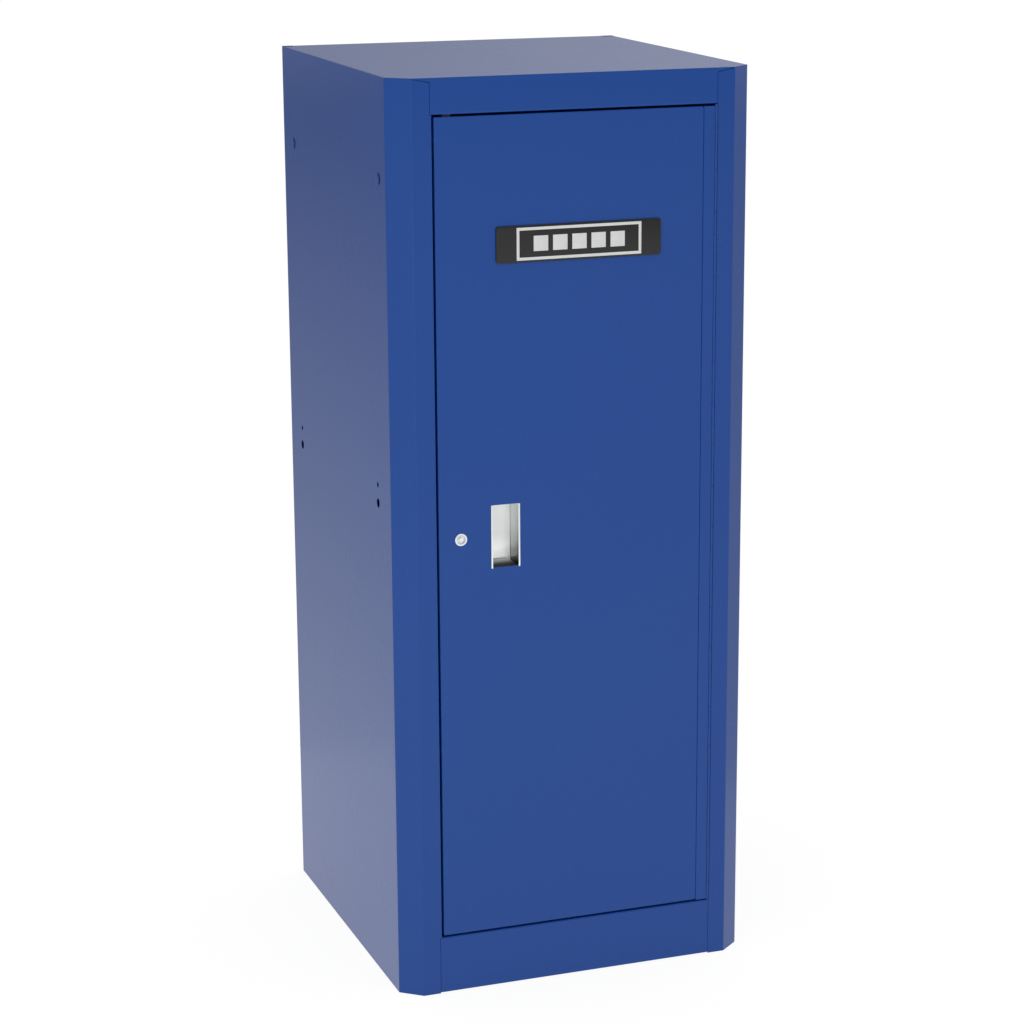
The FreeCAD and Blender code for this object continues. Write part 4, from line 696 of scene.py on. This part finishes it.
def turned(profile, origin, axis, steps, build, carve=None):
    """Turns a closed profile of (radius, distance along axis) points about the axis.

    Carve gives a further distance along the axis from a radius and an angle.
    """
    along = Vector(axis).normalized()
    across = along.orthogonal().normalized()
    third = along.cross(across)
    rings = []
    for radius, distance in profile:
        ring = []
        for step in range(steps):
            angle = 2 * math.pi * step / steps
            spoke = across * math.cos(angle) + third * math.sin(angle)
            reach = distance + (carve(radius, angle) if carve and distance < 0 else 0.0)
            ring.append(build.verts.new(Vector(origin) + along * reach + spoke * radius))
        rings.append(ring)
    for ring, following in zip(rings, rings[1:] + rings[:1]):
        for step in range(steps):
            after = (step + 1) % steps
            build.faces.new((ring[step], ring[after], following[after], following[step]))


def quarter(radius, distance, reach_radius, reach_distance, count=5):
    """Points of a rounded corner from (radius, distance) by the two reaches."""
    points = []
    for step in range(count + 1):
        angle = math.pi / 2 * step / count
        points.append((radius + reach_radius * math.sin(angle),
                       distance + reach_distance * (1 - math.cos(angle))))
    return points


def cross_recess(arm, half, depth):
    """Carves a cross for a screwdriver: arms of one length and half width, and a depth."""

    def carve(radius, angle):
        first, second = abs(radius * math.cos(angle)), abs(radius * math.sin(angle))
        inside = max(first, second) < arm and min(first, second) < half
        return depth if inside else 0.0

    return carve


def add_screw(build, under_head, axis, head, tall, shank, reach, steps):
    """A pan-head screw; the axis points from the head into the work."""
    crown = [(NEAR_AXIS + head * 0.9 * step / CROWN_STEPS,
              -tall * (1.0 - 0.25 * (step / CROWN_STEPS) ** 2))
             for step in range(CROWN_STEPS + 1)]
    rim = [(head * 0.97, -tall * 0.6), (head, -tall * 0.35), (head, 0.0), (shank, 0.0)]
    root = shank * 0.84
    thread = []
    for turn in range(int((reach - SCREW_PITCH) / SCREW_PITCH)):
        thread += [(shank, (turn + 0.3) * SCREW_PITCH), (root, (turn + 0.8) * SCREW_PITCH)]
    tip = [(root, reach - SCREW_PITCH * 0.4), (shank * 0.6, reach), (NEAR_AXIS, reach)]
    turned(crown + rim + thread + tip, under_head, axis, steps, build,
           cross_recess(head * 0.52, head * 0.12, tall * 0.55))


def tidy(build):
    """Welds the points that meet, and turns all faces outward."""
    bmesh.ops.remove_doubles(build, verts=build.verts, dist=WELD)
    bmesh.ops.recalc_face_normals(build, faces=build.faces)


def softened(node, edge, name, steps=3, loops=(), shape=None):
    """A copy of a CAD node's mesh with its sharp edges rounded, standing for that node.

    Loops are planes (point, normal) that cut an edge loop, to keep a flat face's shading flat.
    Shape moves a point of the mesh to its last place.
    """
    build = bmesh.new()
    build.from_mesh(frame["nodes"][node].data)
    bmesh.ops.remove_doubles(build, verts=build.verts, dist=CAD_WELD)
    bmesh.ops.dissolve_limit(build, angle_limit=math.radians(FLAT_ANGLE), verts=build.verts,
                             edges=build.edges, use_dissolve_boundaries=False)
    sharp = [line for line in build.edges
             if len(line.link_faces) == 2
             and line.calc_face_angle(0.0) > math.radians(SHARP_ANGLE)]
    bmesh.ops.bevel(build, geom=sharp, offset=edge, offset_type="OFFSET", segments=steps,
                    profile=0.5, affect="EDGES", clamp_overlap=True)
    for spot, facing in loops:
        bmesh.ops.bisect_plane(build, geom=build.verts[:] + build.edges[:] + build.faces[:],
                               dist=CAD_WELD, plane_co=spot, plane_no=facing)
    if shape:
        for corner in build.verts:
            corner.co = shape(corner.co)
    bmesh.ops.recalc_face_normals(build, faces=build.faces)
    return add_piece(name, build, node, FINISH_OF_SLOT[SLOT_OF[node]]())


def plug_centres():
    """Centres of the four hole plugs on the outer faces, with the way each one faces."""
    low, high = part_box("hole_plugs")
    head = (high.z - low.z) / 2
    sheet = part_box("right_side_panel")[1].x
    for way in (-1, 1):
        for depth in (low.y + head, high.y - head):
            yield Vector((way * sheet, depth, low.z + head)), way


def cap_profile(head, proud, dome, snap, bore):
    """Domed cap with a rolled rim, a hollow stem and a snap ring behind the sheet."""
    rim = proud - dome
    stem = bore * 0.94
    wall = bore * 0.16
    dome_points = [(NEAR_AXIS, proud)]
    for step in range(1, DOME_STEPS + 1):
        angle = step / DOME_STEPS * math.pi / 2
        dome_points.append((head * 0.9 * math.sin(angle), rim + dome * math.cos(angle)))
    outside = [(head * 0.96, rim * 0.95), (head, rim * 0.85), (head, rim * 0.75),
               (head * 0.9, rim * 0.55), (head * 0.86, 0.0), (stem, 0.0)]
    snap_ring = [(stem, -snap * 0.35), (bore, -snap * 0.5), (stem, -snap * 0.8),
                 (stem * 0.92, -snap)]
    inside = [(stem - wall, -snap), (stem - wall, -PLUG_ROOF), (NEAR_AXIS, -PLUG_ROOF)]
    return dome_points + outside + snap_ring + inside


class LOCKER_OT_finish_sheets(bpy.types.Operator):
    """Give every CAD node its procedural finish"""

    bl_idname = "locker.finish_sheets"
    bl_label = "Finish the sheets and fittings"

    def execute(self, context):
        for node, piece in frame["nodes"].items():
            wear(piece, FINISH_OF_SLOT[SLOT_OF[node]]())
        for node in ("left_side_panel", "right_side_panel"):
            wear(frame["nodes"][node], punched_sheet())
        return {"FINISHED"}


class LOCKER_OT_hole_plugs(bpy.types.Operator):
    """Snap a domed cap into each hole high on the sides"""

    bl_idname = "locker.hole_plugs"
    bl_label = "Hole plugs"

    def execute(self, context):
        chosen = details()
        low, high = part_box("hole_plugs")
        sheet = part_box("right_side_panel")[1].x
        proud = high.x - sheet
        head = (high.z - low.z) / 2
        build = bmesh.new()
        profile = cap_profile(head, proud, chosen.plug_dome, chosen.plug_snap, PLUG_BORE)
        for centre, way in plug_centres():
            turned(profile, centre, (way, 0, 0), chosen.turned_steps // 2, build)
        tidy(build)
        add_piece("hole_plug_caps", build, "hole_plugs", painted_sheet())
        return {"FINISHED"}


class LOCKER_OT_lock_face(bpy.types.Operator):
    """Turn the lock's head, its groove and its threaded barrel"""

    bl_idname = "locker.lock_face"
    bl_label = "Lock face"

    def execute(self, context):
        chosen = details()
        low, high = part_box("lock_housing")
        front = low.y
        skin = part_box("door_skin")[0].y
        head = (high.x - low.x) / 2
        plug_low, plug_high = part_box("lock_plug")
        bore = (plug_high.x - plug_low.x) / 2 + LOCK_GAP
        centre = ((low.x + high.x) / 2, 0.0, (low.z + high.z) / 2)
        groove, width, bottom = head * LOCK_GROOVE, chosen.groove, front + LOCK_GROOVE_DEPTH
        soft = chosen.rim_round
        profile = [(bore, front + LOCK_MOUTH), (bore + LOCK_DISH, front + LOCK_DISH),
                   (groove - width, front + LOCK_DISH), (groove - width * 0.7, bottom),
                   (groove - width * 0.3, bottom), (groove, front + LOCK_LIP)]
        profile += quarter(head - soft, front, soft, soft)
        profile += [(head, skin), (LOCK_BARREL, skin)]
        thread_start = skin + LOCK_THREAD_START
        turns = int((high.y - thread_start - LOCK_THREAD_END) / chosen.thread_pitch)
        for turn in range(turns):
            crest = thread_start + turn * chosen.thread_pitch
            profile += [(LOCK_BARREL, crest),
                        (LOCK_BARREL - LOCK_THREAD_DEPTH, crest + chosen.thread_pitch / 2)]
        profile += [(LOCK_BARREL, high.y - LOCK_END_BEVEL[1]),
                    (LOCK_BARREL - LOCK_END_BEVEL[0], high.y), (bore, high.y)]
        build = bmesh.new()
        turned(profile, centre, (0, 1, 0), chosen.turned_steps, build)
        tidy(build)
        add_piece("lock_head_turned", build, "lock_housing", lock_chrome(), 40.0)
        return {"FINISHED"}


class LOCKER_OT_soft_edges(bpy.types.Operator):
    """Round the edges of the pull cup, the name plate, its trim and the lock nut"""

    bl_idname = "locker.soft_edges"
    bl_label = "Soft edges"

    def execute(self, context):
        chosen = details()
        low, high = cup_hollow()
        before = high - Vector((0.0, CUP_FILLET + CUP_CORNER, 0.0))
        loops = [(before, (0, 1, 0))]
        for step in range(CUP_LOOPS):
            above = low + Vector((0.0, 0.0, CUP_FILLET + CUP_CORNER + step * MM))
            loops.append((above, (0, 0, 1)))
        cup = softened("pull_cup", chosen.cup_edge, "pull_cup_pressed", loops=loops,
                       shape=bowed_back)
        wear(cup, pressed_cup())
        softened("name_plate", chosen.plate_edge, "name_plate_moulded")
        softened("plate_border", chosen.trim_edge, "plate_border_raised", 2)
        softened("plate_bars", chosen.trim_edge, "plate_bars_raised", 2)
        softened("lock_nut", chosen.nut_edge, "lock_nut_chamfered", 2)
        return {"FINISHED"}


class LOCKER_OT_bumpers(bpy.types.Operator):
    """Dome the rubber bumpers that the door closes on"""

    bl_idname = "locker.bumpers"
    bl_label = "Door bumpers"

    def execute(self, context):
        chosen = details()
        low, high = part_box("door_bumpers")
        radius = (high.x - low.x) / 2
        depth = high.y - low.y
        build = bmesh.new()
        profile = [(NEAR_AXIS, 0.0), (radius * 0.55, depth * 0.04),
                   (radius * 0.8, depth * 0.18), (radius * 0.95, depth * 0.5),
                   (radius, depth * 0.85), (radius, depth), (NEAR_AXIS, depth)]
        for height in (low.z + radius, high.z - radius):
            centre = ((low.x + high.x) / 2, low.y, height)
            turned(profile, centre, (0, 1, 0), chosen.turned_steps // 2, build)
        tidy(build)
        add_piece("door_bumpers_domed", build, "door_bumpers", bumper_rubber(), 50.0)
        return {"FINISHED"}


class LOCKER_OT_rivets(bpy.types.Operator):
    """Set a blind rivet with its hollow mandrel end in each hole of the back panel"""

    bl_idname = "locker.rivets"
    bl_label = "Back rivets"

    def execute(self, context):
        chosen = details()
        low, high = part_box("back_rivets")
        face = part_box("left_side_panel")[1].y
        tall = high.y - face
        head, shank = chosen.rivet_shank * 2, chosen.rivet_shank
        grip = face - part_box("back_panel")[0].y
        end = face - low.y
        profile = [(NEAR_AXIS, tall * 0.45), (shank * 0.42, tall * 0.45),
                   (shank * 0.5, tall * 0.95),
                   (shank * 0.8, tall), (shank * 1.4, tall * 0.82), (shank * 1.8, tall * 0.45),
                   (head, tall * 0.12), (head, 0.0), (shank * 0.98, 0.0),
                   (shank * 0.98, -grip), (shank * 1.38, -grip - shank * 0.35),
                   (shank * 1.1, -end + shank * 0.2), (shank * 0.6, -end),
                   (NEAR_AXIS, -end)]
        build = bmesh.new()
        span = high.z - low.z - head * 2
        for across in (low.x + head, high.x - head):
            for step in range(RIVETS_PER_SIDE):
                spot = (across, face, low.z + head + span * step / (RIVETS_PER_SIDE - 1))
                turned(profile, spot, (0, 1, 0), chosen.turned_steps // 2, build)
        tidy(build)
        add_piece("back_rivets_set", build, "back_rivets", zinc_plate(), 50.0)
        return {"FINISHED"}


class LOCKER_OT_screws(bpy.types.Operator):
    """Cut the catch screws and the cam screw with domed heads, a cross recess and a thread"""

    bl_idname = "locker.screws"
    bl_label = "Screws"

    def execute(self, context):
        chosen = details()
        steps, tall = chosen.turned_steps, CATCH_SCREW_HEAD
        low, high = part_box("catch_screws")
        head = (high.x - low.x) / 2
        build = bmesh.new()
        for height in (low.z + head, high.z - head):
            add_screw(build, ((low.x + high.x) / 2, high.y - tall, height), (0, -1, 0), head, tall,
                      head / 2, high.y - tall - low.y, steps)
        tidy(build)
        add_piece("catch_screws_cut", build, "catch_screws", zinc_plate(), 30.0)

        low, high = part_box("cam_screw")
        head = (high.x - low.x) / 2
        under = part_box("cam_washer")[1].y
        build = bmesh.new()
        add_screw(build, ((low.x + high.x) / 2, under, (low.z + high.z) / 2), (0, -1, 0), head,
                  high.y - under, chosen.cam_shank, under - low.y, steps)
        tidy(build)
        add_piece("cam_screw_cut", build, "cam_screw", zinc_plate(), 30.0)
        return {"FINISHED"}


# Stage ------------------------------------------------------------------------------------------


def seen_rays(wiring):
    """One for camera, glossy and clear rays, nought for all others."""
    path = wiring.add("ShaderNodeLightPath").outputs
    seen = wiring.maths("MAXIMUM", path["Is Camera Ray"], path["Is Glossy Ray"])
    return wiring.maths("MAXIMUM", seen, path["Is Transmission Ray"])


def make_world():
    """Plain light from all sides, and a white background of strength one."""
    world = bpy.data.worlds.new("studio_world")
    bpy.context.scene.world = world
    wiring = emptied(world)
    seen = seen_rays(wiring)
    white = wiring.add("ShaderNodeBackground", {"Color": WHITE, "Strength": 1.0})
    plain = wiring.add("ShaderNodeBackground", {"Color": WHITE,
                                                "Strength": stage_values().ambient})
    mixed = wiring.add("ShaderNodeMixShader", {0: seen, 1: plain.outputs[0],
                                               2: white.outputs[0]})
    wiring.add("ShaderNodeOutputWorld", {"Surface": mixed.outputs[0]})


def floor_material():
    """Pale floor: its own white toward the camera, with the object's shadow kept in it."""
    material = bpy.data.materials.new("studio_floor")
    chosen = stage_values()
    wiring = emptied(material)
    seen = seen_rays(wiring)
    glow = wiring.add("ShaderNodeEmission", {"Color": WHITE, "Strength": chosen.floor_glow})
    shade = wiring.add("ShaderNodeBsdfDiffuse", {"Color": (chosen.floor_pale,) * 3 + (1.0,)})
    both = wiring.add("ShaderNodeAddShader", {0: glow.outputs[0], 1: shade.outputs[0]})
    plain = wiring.add("ShaderNodeBsdfDiffuse", {"Color": FLOOR_BOUNCE})
    mixed = wiring.add("ShaderNodeMixShader", {0: seen, 1: plain.outputs[0],
                                               2: both.outputs[0]})
    wiring.add("ShaderNodeOutputMaterial", {"Surface": mixed.outputs[0]})
    return material


def glowing(name, brightness):
    """A material that only glows, by a value worked out from the place on the card."""
    material = bpy.data.materials.new(name)
    wiring = emptied(material)
    place = wiring.place()
    glow = wiring.add("ShaderNodeEmission", {
        "Color": WHITE, "Strength": brightness(wiring, place["X"], place["Z"])})
    wiring.add("ShaderNodeOutputMaterial", {"Surface": glow.outputs[0]})
    return material


def wall_glow(wiring, across, height):
    """Bright at the floor, dimmer with height, and paler again above the locker."""
    chosen = stage_values()
    top = CAD_BOX[1].z
    dim = top * WALL_DIM_SHARE
    left = wiring.spread(height, 0.0, dim, chosen.wall_foot, chosen.wall_dim)
    right = wiring.spread(height, 0.0, dim, chosen.wall_foot_right, chosen.wall_dim_right)
    side = wiring.spread(across, *WALL_SIDES, 0.0, 1.0)
    above = wiring.maths("MULTIPLY_ADD", across, chosen.wall_lean, chosen.wall_above)
    return wiring.between(wiring.spread(height, top * WALL_ABOVE_SHARE, top, 0.0, 1.0),
                          wiring.between(side, left, right), above)


def card_glow(wiring, across, height):
    """Pale up to the locker's shoulder, dark above."""
    chosen = stage_values()
    start, end = (CAD_BOX[1].z * level for level in CARD_BAND)
    return wiring.spread(height, start, end, chosen.card_low, chosen.card_dark)


def stage_mesh(name, build, material):
    """A mesh of the stage, which is no part of the locker."""
    mesh = bpy.data.meshes.new(name)
    build.to_mesh(mesh)
    build.free()
    thing = bpy.data.objects.new(name, mesh)
    bpy.context.scene.collection.objects.link(thing)
    wear(thing, material)
    return thing


def arc_card(name, radius, arc, top, material):
    """An upright strip on an arc about the locker, seen only in reflections."""
    build = bmesh.new()
    posts = []
    start, end = arc
    for step in range(ARC_STEPS + 1):
        angle = math.radians(start + (end - start) * step / ARC_STEPS)
        spot = Vector((radius * math.cos(angle), radius * math.sin(angle), 0.0))
        posts.append((build.verts.new(spot), build.verts.new(spot + Vector((0, 0, top)))))
    for post, following in zip(posts, posts[1:]):
        build.faces.new((post[0], following[0], following[1], post[1]))
    card = stage_mesh(name, build, material)
    for ray in ("camera", "diffuse", "shadow", "transmission", "volume_scatter"):
        setattr(card, f"visible_{ray}", False)


def add_lamp(name, place, target, size, power):
    """A square soft lamp aimed at a point."""
    data = bpy.data.lights.new(name, "AREA")
    data.shape = "SQUARE"
    data.size = size
    data.energy = power
    lamp = bpy.data.objects.new(name, data)
    lamp.location = place
    lamp.rotation_mode = "QUATERNION"
    lamp.rotation_quaternion = (Vector(target) - Vector(place)).to_track_quat("-Z", "Y")
    bpy.context.scene.collection.objects.link(lamp)


def camera_turn():
    """Rotation of the camera from its heading and tilt."""
    heading, tilt = math.radians(CAMERA_HEADING), math.radians(CAMERA_TILT)
    ahead = Vector((math.sin(heading) * math.cos(tilt), math.cos(heading) * math.cos(tilt),
                    math.sin(tilt)))
    right = ahead.cross(Vector((0, 0, 1))).normalized()
    return Matrix((right, right.cross(ahead), -ahead)).transposed()


class LOCKER_OT_stage(bpy.types.Operator):
    """Set the floor, the reflecting cards, the lamps, the world and the camera"""

    bl_idname = "locker.stage"
    bl_label = "Stage"

    def execute(self, context):
        chosen = stage_values()
        make_world()

        build = bmesh.new()
        bmesh.ops.create_grid(build, x_segments=8, y_segments=8, size=FLOOR_REACH)
        stage_mesh("studio_floor", build, floor_material())

        arc_card("studio_wall", chosen.wall_radius, WALL_ARC, WALL_HEIGHT,
                 glowing("studio_wall", wall_glow))
        arc_card("studio_front_card", chosen.card_radius, CARD_ARC, CARD_HEIGHT,
                 glowing("studio_front_card", card_glow))
        add_lamp("front_lamp", LAMP_PLACE, (0.0, 0.0, CAD_BOX[1].z / 2), LAMP_SIZE, chosen.lamp)

        data = bpy.data.cameras.new("studio_camera")
        data.sensor_width = CAMERA_SENSOR
        data.lens = CAMERA_LENS
        data.shift_x, data.shift_y = CAMERA_SHIFT
        camera = bpy.data.objects.new("studio_camera", data)
        camera.location = CAMERA_PLACE
        camera.rotation_mode = "QUATERNION"
        camera.rotation_quaternion = camera_turn().to_quaternion()
        context.scene.collection.objects.link(camera)
        context.scene.camera = camera
        context.scene.view_settings.view_transform = "Standard"
        return {"FINISHED"}


class LOCKER_PT_panel(bpy.types.Panel):
    """Lists the locker's values and the steps that build it"""

    bl_idname = "LOCKER_PT_panel"
    bl_label = "Side Locker"
    bl_space_type = "VIEW_3D"
    bl_region_type = "UI"
    bl_category = "Side Locker"

    def draw(self, context):
        for group in (finishes(), details(), stage_values()):
            box = self.layout.box()
            for name in group.__annotations__:
                box.prop(group, name)
        for step in STEPS:
            self.layout.operator(step.bl_idname)


STEPS = (
    LOCKER_OT_finish_sheets,
    LOCKER_OT_hole_plugs,
    LOCKER_OT_lock_face,
    LOCKER_OT_soft_edges,
    LOCKER_OT_bumpers,
    LOCKER_OT_rivets,
    LOCKER_OT_screws,
    LOCKER_OT_stage,
)
VALUES = {
    "locker_finishes": LockerFinishes,
    "locker_details": LockerDetails,
    "locker_stage": LockerStage,
}


def register():
    for kind in (*VALUES.values(), *STEPS, LOCKER_PT_panel):
        bpy.utils.register_class(kind)
    for name, kind in VALUES.items():
        setattr(bpy.types.Scene, name, PointerProperty(type=kind))


def unregister():
    for name in VALUES:
        delattr(bpy.types.Scene, name)
    for kind in (LOCKER_PT_panel, *reversed(STEPS), *reversed(VALUES.values())):
        bpy.utils.unregister_class(kind)


def main():
    register()
    for step in STEPS:
        area, action = step.bl_idname.split(".")
        getattr(getattr(bpy.ops, area), action)()


if __name__ == "__main__":
    main()
